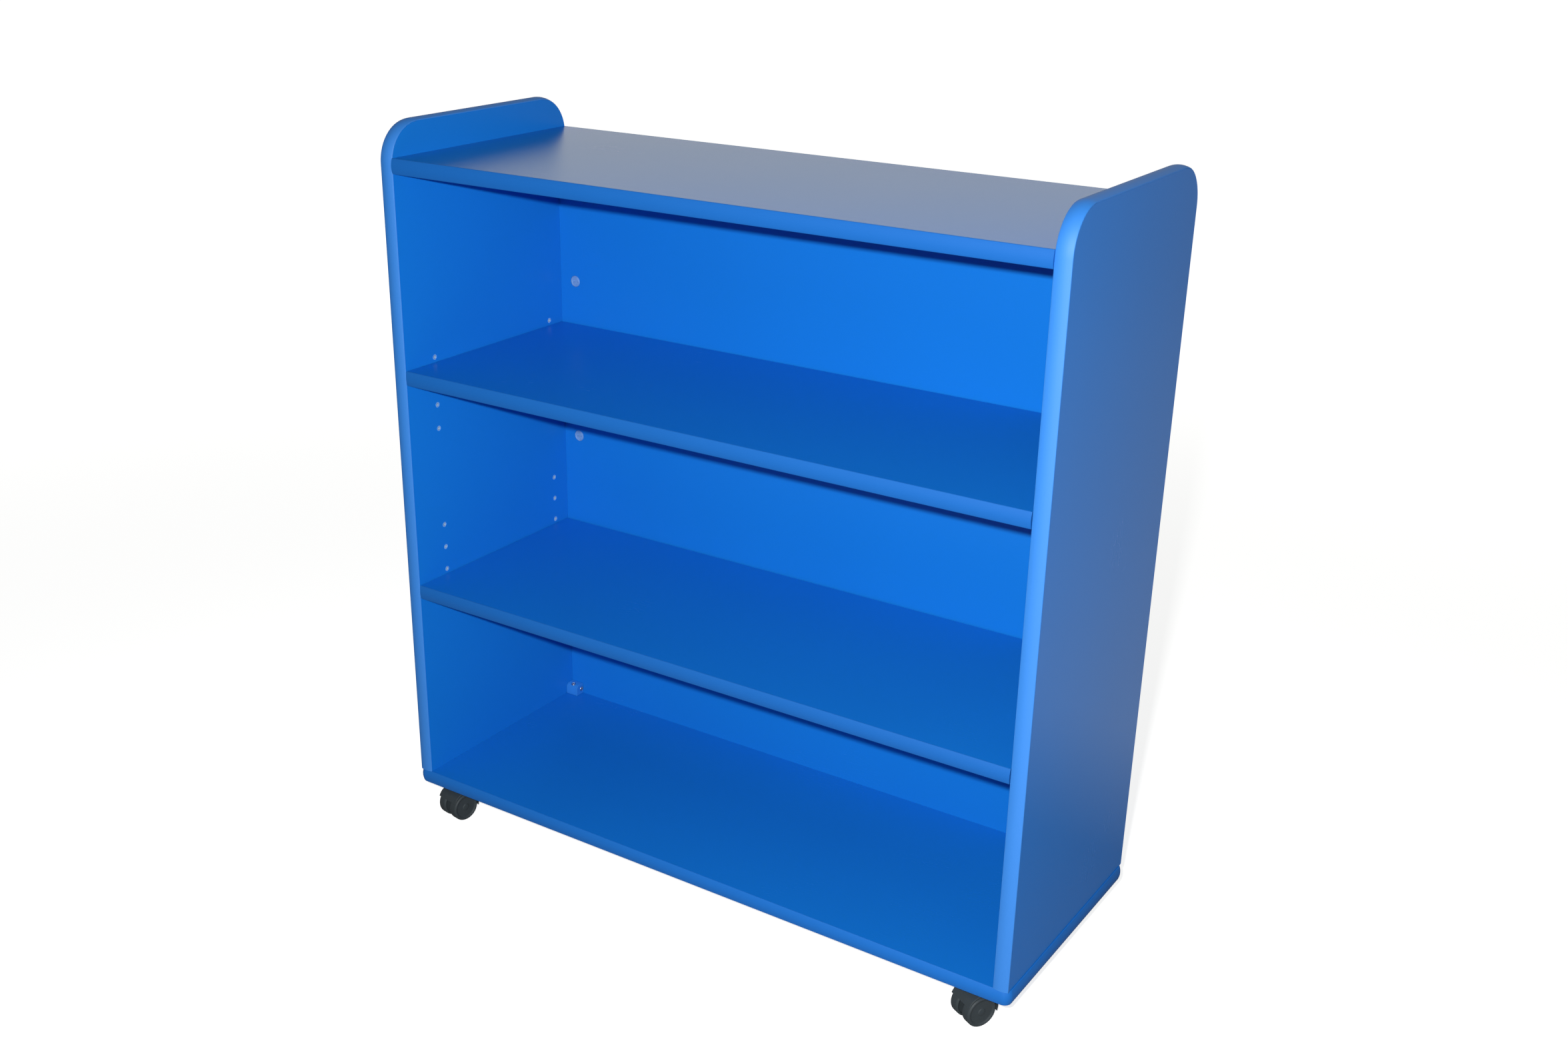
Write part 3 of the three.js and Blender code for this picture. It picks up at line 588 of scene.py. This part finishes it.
for side in ("left", "right"):
    low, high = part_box(f"side_{side}")
    middle = (low.x + high.x) / 2
    turn = high.y - corner_radius
    top = high.z - corner_radius
    front, front_out = arc(
        (middle, -turn, top), corner_radius, 2 * QUARTER, QUARTER, CORNER_STEPS, (Y_AXIS, Z_AXIS))
    rear, rear_out = arc(
        (middle, turn, top), corner_radius, QUARTER, 0, CORNER_STEPS, (Y_AXIS, Z_AXIS))
    places = np.concatenate([[(middle, low.y, low.z)], front, rear, [(middle, high.y, low.z)]])
    outs = np.concatenate([[-Y_AXIS], front_out, rear_out, [Y_AXIS]])
    make_piece(f"crowned_edging_side_{side}", [swept(section, places, X_AXIS, outs)],
               side_edging_finish, "case", [f"side_{side}_edging"])
print("places along a side's edging:", len(places))

# %% Edging of the base
base_low, base_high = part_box("base")
base_corner = 8 * MM
base_corner_steps = 12
height = (base_low.z + base_high.z) / 2
inner_x, inner_y = base_high.x - base_corner, base_high.y - base_corner
turns = []
for k, (sx, sy) in enumerate([(1, 1), (-1, 1), (-1, -1), (1, -1)]):
    centre = (sx * inner_x, sy * inner_y, height)
    start, end = k * QUARTER, (k + 1) * QUARTER
    turns.append(arc(centre, base_corner, start, end, base_corner_steps, (X_AXIS, Y_AXIS)))
ring, ring_out = (np.concatenate([turn[k] for turn in turns]) for k in (0, 1))
head_only = section[section[:, 1] > -0.5 * foot_rounding]
make_piece("crowned_edging_base", [swept(head_only, ring, Z_AXIS, ring_out, closed=True)],
           base_edging_finish, "case", ["base_edging"])
print("places round the base:", len(ring))

# %% Edging of the top board and the shelves
front_edged = {"top_board": "case", "shelf_lower": "lower_shelf", "shelf_upper": "upper_shelf"}
for board, body in front_edged.items():
    low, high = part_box(board)
    height = (low.z + high.z) / 2
    places = [(low.x, low.y, height), (high.x, low.y, height)]
    make_piece(f"crowned_edging_{board}", [swept(section, places, Z_AXIS, -Y_AXIS)],
               flat_edging_finish, body, [f"{board}_edging"])

# %% [markdown]
# ## Metals and small plastics
#
# The supports and plates are pressed zinc, dull, with soft patches where its skin has turned, so
# colour and roughness both follow a cloudy pattern. The cams have a pale blue passivated skin,
# which is a thin salt layer and only partly mirrors its room, so their metal share is low. The
# castors are black nylon with a fine moulded grain, and the corner blocks are plastic in a blue a
# little paler than the boards.

# %% Metal finishes
PRESSED_GRAIN_DEPTH = 0.04 * MM


def metal_finish(name, color, roughness, spread, grain_scale, bare_share=1.0):
    """Dull metal: patches change its colour and roughness, and a fine grain breaks its shine.

    The bare share is less than 1 where a passivated or powdery skin covers the metal.
    """
    material, tree, shader, place = principled(name)
    clouds = use_group(tree, cloud_group, Place=place, Scale=120.0, Amount=spread)["Factor"]
    grain = use_group(tree, grain_group, Place=place, Scale=grain_scale)["Height"]
    tree.links.new(shaded(tree, color, clouds), shader.inputs["Base Color"])
    tree.links.new(math_node(tree, "MULTIPLY", clouds, roughness), shader.inputs["Roughness"])
    link_bump(tree, shader, grain, PRESSED_GRAIN_DEPTH)
    shader.inputs["Metallic"].default_value = bare_share
    return material


zinc = metal_finish("zinc fitting", (0.56, 0.57, 0.58), 0.42, 0.16, 2600.0)
blue_zinc = metal_finish(
    "blue passivated cam", (0.20, 0.38, 0.66), 0.5, 0.16, 2600.0, bare_share=0.3)
steel = metal_finish("steel pin", (0.50, 0.51, 0.53), 0.30, 0.08, 4200.0)
print("metals:", [zinc.name, blue_zinc.name, steel.name])

# %% Plastic finishes
PLASTIC_RUB_DULLING = 0.1


def plastic_finish(name, color, gloss, roughness, grain_scale, grain_depth):
    """Moulded plastic: even colour with slight clouds, rub marks and a grain from the mould."""
    material, tree, shader, place = principled(name)
    clouds = use_group(tree, cloud_group, Place=place, Scale=70.0, Amount=0.08)["Factor"]
    grain = use_group(tree, grain_group, Place=place, Scale=grain_scale)["Height"]
    rubs = use_group(tree, rub_group, Place=place, Scale=60.0, Width=0.03)["Mask"]
    tree.links.new(shaded(tree, color, clouds), shader.inputs["Base Color"])
    rough = math_node(tree, "MULTIPLY_ADD", rubs, PLASTIC_RUB_DULLING, roughness)
    tree.links.new(rough, shader.inputs["Roughness"])
    link_bump(tree, shader, grain, grain_depth)
    shader.inputs["Specular IOR Level"].default_value = gloss
    return material


nylon = plastic_finish(
    "castor nylon", (0.032, 0.041, 0.046), 0.3, 0.58, 2400.0, 0.05 * MM)
block_plastic = plastic_finish(
    "corner block plastic", (0.022, 0.20, 0.62), 0.3, 0.45, 1800.0, 0.03 * MM)
pale_burr = plastic_finish(
    "pale drilled rim", (0.20, 0.46, 0.90), 0.5, 0.7, 3000.0, 0.04 * MM)
print("plastics:", [nylon.name, block_plastic.name, pale_burr.name])

# %% [markdown]
# ## Cams and screws
#
# A cam is a zinc drum with a cross recess. A screw head is the same form, smaller and domed. The
# face of both is a height worked out over a disc: a rounded rim, a shallow ring and the cross,
# which is deep wherever a point lies within either bar of it.

# %% A face with a cross recess
def smooth_step(value, low, high):
    """Goes from 0 to 1 between low and high along 3t^2 - 2t^3."""
    t = np.clip((value - low) / (high - low), 0, 1)
    return t * t * (3 - 2 * t)


RING_PLACE, RING_WIDTH = 0.8, 0.06
BAR_SOFTNESS = 0.12


def crossed_head(centre, outward, radius, length, dome, rim, cross, ring=0.0, rings=26, steps=96):
    """A round head with a cross recess, closed behind.

    Over radius r and angle a, the face stands at dome * (1 - (r / radius)^2), less the rim's
    rounding rim * t^2, where t goes from 0 to 1 across the rim, less the cross's depth inside its
    bars, less a shallow ring, ring * exp(-((r - ring place) / ring width)^2).
    """
    cross_length, cross_width, cross_depth = cross
    first, second = basis(outward)
    r = np.linspace(0, radius, rings)[None, :]
    a = np.linspace(0, 2 * math.pi, steps, endpoint=False)[:, None]
    u, v = r * np.cos(a), r * np.sin(a)
    soft = BAR_SOFTNESS * cross_width
    bars = [smooth_step(-np.abs(p), -cross_width / 2 - soft, -cross_width / 2 + soft)
            * smooth_step(-np.abs(q), -cross_length / 2 - soft, -cross_length / 2 + soft)
            for p, q in ((u, v), (v, u))]
    face = dome * (1 - (r / radius) ** 2) - rim * np.clip((r - radius + rim) / rim, 0, 1) ** 2
    from_ring = (r - RING_PLACE * radius) / (RING_WIDTH * radius)
    face = face - cross_depth * np.maximum(*bars) - ring * np.exp(-from_ring ** 2)
    behind = np.array([radius, 0])
    heights = np.concatenate([face, np.full((steps, 2), -length)], axis=1)
    radii = np.broadcast_to(np.concatenate([r[0], behind]), (steps, rings + 2))
    directions = np.cos(a)[..., None] * first + np.sin(a)[..., None] * second
    points = (np.array(centre, float) + radii[..., None] * directions
              + heights[..., None] * unit(outward))
    return points.reshape(-1, 3), [grid_faces(steps, rings + 2, wrap_rows=True)]


# %% The cams
cam_radius = 7.5 * MM
cam_rim = 0.4 * MM
cam_ring = 0.35 * MM
cam_cross = (10 * MM, 1.8 * MM, 2 * MM)

for name in sorted(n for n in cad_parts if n.endswith("_cam")):
    low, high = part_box(name)
    middle = (low + high) / 2
    if name.startswith("back"):
        face, outward, length = (middle.x, low.y, middle.z), -Y_AXIS, high.y - low.y
    else:
        face, outward, length = (middle.x, middle.y, low.z), -Z_AXIS, high.z - low.z
    head = crossed_head(face, outward, cam_radius, length, 0, cam_rim, cam_cross, ring=cam_ring)
    make_piece(f"{name}_drum", [head], blue_zinc, "case", [name])

# %% [markdown]
# ## Supports, corner blocks and pins
#
# These small castings have eased arrises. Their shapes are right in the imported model, so a copy of
# each is taken, its loose triangles are merged, and a bevel rounds the arrises. Pins and bolts are
# nearly hidden and keep the model's own shape with a steel finish.

# %% Soften the castings
support_arris = 0.35 * MM
block_arris = 0.8 * MM

supports = sorted(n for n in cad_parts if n.startswith("support_"))
for name in supports:
    make_piece(f"{name}_pressed", [node_surface(name)], zinc,
               "case", [name], soften=support_arris)
for side in ("left", "right"):
    name = f"corner_block_{side}"
    make_piece(f"{name}_moulded", [node_surface(name)], block_plastic,
               "case", [name], soften=block_arris)
pins = sorted(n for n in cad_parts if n.endswith(("_bolt", "_axle")))
for name in pins:
    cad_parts[name].data.materials.clear()
    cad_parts[name].data.materials.append(steel)
print("supports:", len(supports), "bolts and axles:", len(pins))

# %% [markdown]
# ## Rims of the peg holes
#
# A drill breaks the facing a little round each hole and leaves a fine pale ring. In flash light
# these rims are the small light blue specks on the sides. A painted ring would stay flat in other
# light, so each is a ring that bulges by a tenth of a millimetre: a small ellipse carried round a
# circle.

# %% Drilled rims
hole_pitch = 32 * MM
holes_per_group = 4
hole_radius = 2.8 * MM
rim_width = 0.7 * MM
rim_rise = 0.12 * MM
peg_height = 7 * MM


def torus(centre, axis, radius, section_radii, steps=24, section_steps=8):
    """A ring: an ellipse of two radii carried round a circle about the axis."""
    first, second = basis(axis)
    turn = np.linspace(0, 2 * math.pi, steps, endpoint=False)[:, None]
    out = np.cos(turn) * first + np.sin(turn) * second
    angle = np.linspace(0, 2 * math.pi, section_steps, endpoint=False)
    ellipse = np.column_stack([section_radii[1] * np.sin(angle), section_radii[0] * np.cos(angle)])
    places = np.array(centre, float) + radius * out
    return swept(ellipse, places, unit(axis), out, closed=True)


for side, sign in (("left", -1), ("right", 1)):
    low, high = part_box(f"side_{side}")
    face = high.x if sign < 0 else low.x
    rims = []
    for group, below in (("lower", 0), ("upper", 2)):
        for end in ("front", "rear"):
            box_low, box_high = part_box(f"support_{group}_{side}_{end}")
            peg_y = (box_low.y + box_high.y) / 2
            peg_z = box_low.z + peg_height
            rims += [torus((face, peg_y, peg_z + (k - below) * hole_pitch), X_AXIS,
                           hole_radius + rim_width / 2, (rim_width / 2, rim_rise))
                     for k in range(holes_per_group)]
    make_piece(f"peg_hole_rims_{side}", rims, pale_burr, "case", sharp=180)
print("peg holes in each side:", len(rims))

# %% [markdown]
# ## The castors
#
# Each castor has two wheels under one hood, and a boss that takes the swivel pin. The wheels are
# revolved from a rounded profile, with a dished outer face. The hood is a curved strip about the
# axle, thinner towards its lips, as moulded hoods are, so that no hard step shows in the outline.
# The boss is a drum whose underside follows the wheels' room: a height worked out over a disc
# again. All are drawn about the swivel axis, then turned and set in place.

# %% Castor sizes
wheel_radius = 20 * MM
wheel_width = 14 * MM
case_half_depth = 167 * MM
castor_inset = 45 * MM
castor_trail = 18 * MM
castor_turns = {"front_left": -10, "front_right": -28, "rear_left": -14, "rear_right": -20}
wheel_gap = 1.7 * MM
hood_thickness = 2 * MM
hood_angles = (-12, 148)
web_thickness = 8 * MM
hub_gap = 0.5 * MM
room_radius = wheel_radius + wheel_gap
wheel_inner = web_thickness / 2 + hub_gap
wheel_outer = wheel_inner + wheel_width
half_hood = wheel_outer - hub_gap
axle_place = np.array((0, -castor_trail, wheel_radius))
print("width over both wheels:", round(2 * wheel_outer / MM, 1), "mm")


def placed(part, corner):
    """Turns a surface about the swivel axis and moves it to its corner of the case."""
    points, faces = part
    end, side = corner.split("_")
    pivot = np.array((
        (base_high.x - castor_inset) * (1 if side == "right" else -1),
        (case_half_depth - castor_inset) * (1 if end == "rear" else -1), 0))
    angle = math.radians(castor_turns[corner])
    cos, sin = math.cos(angle), math.sin(angle)
    turn = np.array(((cos, -sin, 0), (sin, cos, 0), (0, 0, 1)))
    return points @ turn.T + pivot, faces


# %% Wheels
def wheel(sign):
    """A dished wheel: the profile lists (radius, distance from the castor's middle plane), in mm.

    It runs from the axle's cap over the dish and the tread, and back inside over the recess
    between rim and hub, to the end of the axle's bore.
    """
    r, i, o = wheel_radius / MM, wheel_inner / MM, wheel_outer / MM
    outer_face = [(0, o - 0.5), (4.2, o - 0.7), (5.0, o - 1.6),
                  (r - 5.0, o - 1.6), (r - 3.4, o - 0.1)]
    tread = [(r - 1.4, o), (r, o - 2.0), (r, i + 2.0), (r - 1.4, i)]
    inner_face = [(r - 3.0, i), (r - 3.0, i + 5.0), (6.0, i + 5.0), (6.0, i)]
    bore = [(2.8, i), (2.8, i + 10.3), (0, i + 10.3)]
    profile = rounded(outer_face + tread + inner_face + bore, 0.9, closed=False) * MM
    return revolved(profile, axle_place, sign * X_AXIS, steps=72)


for corner in castor_turns:
    for side, sign in (("left", -1), ("right", 1)):
        make_piece(f"castor_{corner}_tyre_{side}", [placed(wheel(sign), corner)], nylon,
                   f"{corner}_castor_{side}_wheel", [f"castor_{corner}_wheel_{side}"])


# %% Hoods
def about_axle(radius, start, end, steps):
    """Points about the axle between two angles in degrees, and the outward directions there."""
    start, end = math.radians(start), math.radians(end)
    return arc(axle_place, radius, start, end, steps, (Y_AXIS, Z_AXIS))


def hood_strip():
    """The curved strip over both wheels: a rounded bar carried about the axle.

    The bar's thickness at angle a is multiplied by 1 - thinning * (1 - smooth step of the angle
    to the nearer lip), so the strip thins out softly towards both lips.
    """
    half, steps, thinning, thinned_degrees = half_hood, 60, 0.6, 24
    bar = rounded(
        [(-half, 0), (half, 0), (half, hood_thickness), (-half, hood_thickness)], 0.9 * MM)
    places, out = about_axle(room_radius, *hood_angles, steps)
    degrees = np.linspace(*hood_angles, steps)
    to_lip = np.minimum(degrees - hood_angles[0], hood_angles[1] - degrees)
    share = 1 - thinning * (1 - smooth_step(to_lip, 0, thinned_degrees))
    return swept(bar, places, X_AXIS, share[:, None] * out)


def hood_web():
    """The plate between the wheels, from the hood's strip down to the axle's boss."""
    boss_radius = 6.5 * MM
    outer, _ = about_axle(room_radius + hood_thickness / 2, *hood_angles, 40)
    inner, _ = about_axle(boss_radius, hood_angles[1], 360 + hood_angles[0], 24)
    outline = rounded(np.concatenate([outer, inner])[:, 1:], 0)
    half = web_thickness / 2
    return swept(outline, [(-half, 0, 0), (half, 0, 0)], Y_AXIS, Z_AXIS)


def swivel_boss():
    """The drum round the swivel pin.

    Over radius r and angle a its foot stands at the height of the wheels' room there, the axle's
    height plus the root of room^2 - (y + trail)^2, and never below the axle.
    """
    radius, top, bore, bore_depth, eased = 9 * MM, 51.3 * MM, 4.3 * MM, 9 * MM, 0.6 * MM
    rings, steps = 12, 72
    r = np.linspace(radius, bore, rings)[::-1]
    a = np.linspace(0, 2 * math.pi, steps, endpoint=False)[:, None]
    y = r * np.sin(a)
    foot = axle_place[2] + np.sqrt(np.maximum(room_radius ** 2 - (y + castor_trail) ** 2, 0))
    wall = np.array([(radius, top - eased), (radius - eased, top), (bore, top),
                     (bore, top - bore_depth), (0, top - bore_depth)])
    heights = np.concatenate([foot[:, :1], foot, np.tile(wall[:, 1], (steps, 1))], axis=1)
    radii = np.tile(np.concatenate([[0], r, wall[:, 0]]), (steps, 1))
    points = np.stack([radii * np.cos(a), radii * np.sin(a), heights], axis=-1)
    return points.reshape(-1, 3), [grid_faces(steps, points.shape[1], wrap_rows=True)]


for corner in castor_turns:
    parts = [placed(part, corner) for part in (hood_strip(), hood_web(), swivel_boss())]
    make_piece(f"castor_{corner}_cover", parts, nylon, f"{corner}_castor",
               [f"castor_{corner}_hood"], sharp=50)

# %% Castor plates
plate_arris = 0.3 * MM
for corner in castor_turns:
    name = f"castor_{corner}_plate"
    make_piece(f"{name}_pressed", [node_surface(name)], zinc,
               "case", [name], soften=plate_arris)
print("plates:", len(castor_turns))

# %% [markdown]
# ## Screws
#
# Pan-head screws hold the castor plates and the corner blocks, and countersunk screws come up
# through the base into the sides and the back panel. They are small, but their heads are what makes
# the underside look put together.

# %% Screws
pan_cross = (3.6 * MM, 0.9 * MM, 1.2 * MM)
flat_cross = (4.2 * MM, 1.1 * MM, 1.4 * MM)


def pan_head(place, outward):
    radius, length, dome, rim = 3.6 * MM, 1.2 * MM, 1.5 * MM, 0.3 * MM
    return crossed_head(place, outward, radius, length, dome, rim, pan_cross, rings=16, steps=48)


def flat_head(place, outward):
    radius, length, dome, rim = 4.2 * MM, 1.0 * MM, 0.15 * MM, 0.1 * MM
    return crossed_head(place, outward, radius, length, dome, rim, flat_cross, rings=16, steps=48)


plate_reach = 15 * MM
plate_thickness = 2 * MM
pan_seat = 1.0 * MM
plate_screws = []
for corner in castor_turns:
    low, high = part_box(f"castor_{corner}_plate")
    middle = (low + high) / 2
    under = high.z - plate_thickness - pan_seat
    plate_screws += [
        pan_head((middle.x + i * plate_reach, middle.y + j * plate_reach, under), -Z_AXIS)
        for i in (-1, 1) for j in (-1, 1)]
make_piece("castor_plate_screws", plate_screws, steel, "case", sharp=60)

front_bore, rear_bore = 4.95 * MM, 11.25 * MM
block_seat = 0.2 * MM
block_screws = []
for side, sign in (("left", -1), ("right", 1)):
    low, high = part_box(f"corner_block_{side}")
    inner = high.x if sign < 0 else low.x
    middle_x, middle_z = (low.x + high.x) / 2, (low.z + high.z) / 2
    block_screws += [
        pan_head((middle_x, low.y + front_bore, high.z + block_seat), Z_AXIS),
        pan_head((inner - sign * block_seat, low.y + rear_bore, middle_z), -sign * X_AXIS)]
make_piece("corner_block_screws", block_screws, steel, "case", sharp=60)

flat_seat = 0.05 * MM
under = base_low.z - flat_seat
side_middle = base_high.x - board_thickness / 2
screws_along_side = (-60 * MM, 0.0, 60 * MM)
screws_along_back = (-250 * MM, 0.0, 250 * MM)
back_row = 156 * MM
base_screws = [flat_head((sign * side_middle, y, under), -Z_AXIS)
               for sign in (-1, 1) for y in screws_along_side]
base_screws += [flat_head((x, back_row, under), -Z_AXIS) for x in screws_along_back]
make_piece("base_screws", base_screws, steel, "case", sharp=60)
print("screws:", len(plate_screws) + len(block_screws) + len(base_screws))

# %% [markdown]
# ## Floor and light
#
# The photograph was lit by a small lamp beside the lens. A lamp above the lens leaves a thin dark
# line under each front edge, and a lamp to its left keeps the shadow of the right side out of
# sight. The photograph shows both, so the lamp stands a little higher and to the left. A wide card
# of light behind the bookcase gives the top board its grey sheen, and the sky fills the shadows.
# The floor is plain and pale. To make it white by more light would burn out the bookcase too, so
# it glows by itself, but only for the camera. The glow is a bit weaker near the bookcase, where
# the lamp makes up the rest, and so the floor keeps the shadow.
# The outer side is glossy enough to mirror the floor beside it. It is deep blue at its foot and
# greyer from a soft slanting line upwards, so what it mirrors is dark close by and pale further
# back. Gloss therefore sees another floor than the camera: dimmed near the bookcase, with a pale
# sheet behind it that fades with distance.

# %% What the camera sees
def seen_level(tree, clear_level, gloss_level):
    """One level for what the camera sees, directly or through glass, and one for gloss.

    It also gives the mask of gloss itself.
    """
    path = node(tree, "ShaderNodeLightPath").outputs
    clear = math_node(tree, "MAXIMUM", path["Is Camera Ray"], path["Is Transmission Ray"])
    levels = [math_node(tree, "MULTIPLY", clear, clear_level),
              math_node(tree, "MULTIPLY", path["Is Glossy Ray"], gloss_level)]
    return math_node(tree, "MAXIMUM", *levels), path["Is Glossy Ray"]


# %% Floor
floor_radius, floor_steps = 40.0, 96
floor_mesh = bpy.data.meshes.new("floor")
angles = np.linspace(0, 2 * math.pi, floor_steps, endpoint=False)
circle = [np.cos(angles), np.sin(angles), 0 * angles]
floor_points = floor_radius * np.column_stack(circle)
floor_mesh.from_pydata(floor_points.tolist(), [], [list(range(floor_steps))])
floor = bpy.data.objects.new("floor", floor_mesh)
bpy.context.scene.collection.objects.link(floor)
floor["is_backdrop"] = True
print("floor:", 2 * floor_radius, "m across")

# %% How the floor glows
NEAR_FLOOR, FAR_FLOOR = 1.2, 4.0
NEAR_GLOW, FAR_GLOW = 0.80, 0.97
SHEET_START, SHEET_FULL, SHEET_END = 0.30, 0.65, 4.0
NEAR_SHEET, FAR_SHEET = 0.50, 0.36
SHEET_COLOR = (0.98, 1.0, 0.93, 1)
WHITE = (1, 1, 1, 1)

floor_material, tree, shader, place = principled("pale floor")
from_case = node(tree, "ShaderNodeVectorMath", {0: place}, operation="LENGTH").outputs["Value"]
glow_level = ramp(tree, from_case, NEAR_FLOOR, FAR_FLOOR, NEAR_GLOW, FAR_GLOW, "SMOOTHSTEP")
to_back = node(tree, "ShaderNodeSeparateXYZ", {0: place}).outputs[1]
sheet = ramp(tree, to_back, SHEET_START, SHEET_FULL)
fading = ramp(tree, to_back, SHEET_FULL, SHEET_END, NEAR_SHEET, FAR_SHEET)
strength, in_gloss = seen_level(tree, glow_level, math_node(tree, "MULTIPLY", sheet, fading))
glow_color = mixed(tree, in_gloss, WHITE, SHEET_COLOR)
glow = node(tree, "ShaderNodeEmission", {"Color": glow_color, "Strength": strength})
print("glow near and far:", NEAR_GLOW, FAR_GLOW)

# %% Floor finish
FLOOR_GREY = (0.48, 0.48, 0.475)
FLOOR_ROUGHNESS, FLOOR_GLOSS = 0.8, 0.1
GLOSS_DIMMING = 0.43

floor_clouds = use_group(tree, cloud_group, Place=place, Scale=2.0, Amount=0.01)["Factor"]
dimmed = math_node(tree, "MULTIPLY", in_gloss, GLOSS_DIMMING)
dimming = math_node(tree, "SUBTRACT", floor_clouds, dimmed)
tree.links.new(shaded(tree, FLOOR_GREY, dimming), shader.inputs["Base Color"])
shader.inputs["Roughness"].default_value = FLOOR_ROUGHNESS
shader.inputs["Specular IOR Level"].default_value = FLOOR_GLOSS
lit_and_glowing = node(tree, "ShaderNodeAddShader", {0: shader.outputs[0], 1: glow.outputs[0]})
tree.links.new(lit_and_glowing.outputs[0], tree.nodes["Material Output"].inputs["Surface"])
floor_mesh.materials.append(floor_material)
print("floor finish:", floor_material.name)

# %% World
SKY_FILL = 0.12
WORLD_GLOSS = 0.2
world = bpy.data.worlds.new("pale room")
bpy.context.scene.world = world
world.use_nodes = True
tree = world.node_tree
tree.nodes.clear()
fill = node(tree, "ShaderNodeBackground", {"Color": WHITE, "Strength": SKY_FILL})
white = node(tree, "ShaderNodeBackground", {"Color": WHITE, "Strength": 1.0})
seen, _ = seen_level(tree, 1.0, WORLD_GLOSS)
blend = node(tree, "ShaderNodeMixShader", {0: seen, 1: fill.outputs[0], 2: white.outputs[0]})
tree.links.new(blend.outputs[0], node(tree, "ShaderNodeOutputWorld").inputs["Surface"])
print("sky fill:", SKY_FILL, "and for gloss:", WORLD_GLOSS)


# %% Lamps
def area_lamp(name, place, target, size, power, color=(1, 1, 1)):
    """A lamp of the given size that faces a target. The camera doesn't see the lamp itself."""
    data = bpy.data.lights.new(name, "AREA")
    data.shape, data.color = "RECTANGLE", color
    (data.size, data.size_y), data.energy = size, power
    lamp = bpy.data.objects.new(name, data)
    lamp.location = place
    lamp.rotation_euler = (Vector(target) - Vector(place)).to_track_quat("-Z", "Y").to_euler()
    lamp.visible_camera = False
    bpy.context.scene.collection.objects.link(lamp)


LAMP_RISE, LAMP_LEFT = 0.06, 0.08
LAMP_SIZE, LAMP_POWER = (0.05, 0.03), 55.0
LAMP_TARGET = (0, 0, 0.25)
CARD_SIZE, CARD_POWER = (6.0, 2.0), 29.0
CARD_PLACE, CARD_TARGET = (-1.9, 3.2, 1.7), (-1.9, 0, 1.2)
CARD_COLOR = (0.98, 1.0, 0.88)

lamp_place = eye + LAMP_RISE * up - LAMP_LEFT * right
area_lamp("lamp_above_lens", lamp_place, LAMP_TARGET, LAMP_SIZE, LAMP_POWER)
area_lamp("card_behind", CARD_PLACE, CARD_TARGET, CARD_SIZE, CARD_POWER, CARD_COLOR)
bpy.context.scene.view_settings.view_transform = "Standard"

# %% [markdown]
# ## Last measures
#
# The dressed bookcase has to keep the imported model's size, so both boxes are written down and can
# be compared after each render.

# %% Write the size
seen_low, seen_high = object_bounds()
growth = zip((*seen_low, *seen_high), (*cad_low, *cad_high))
print("grown by:", [round((seen - packed) / MM, 2) for seen, packed in growth], "mm")
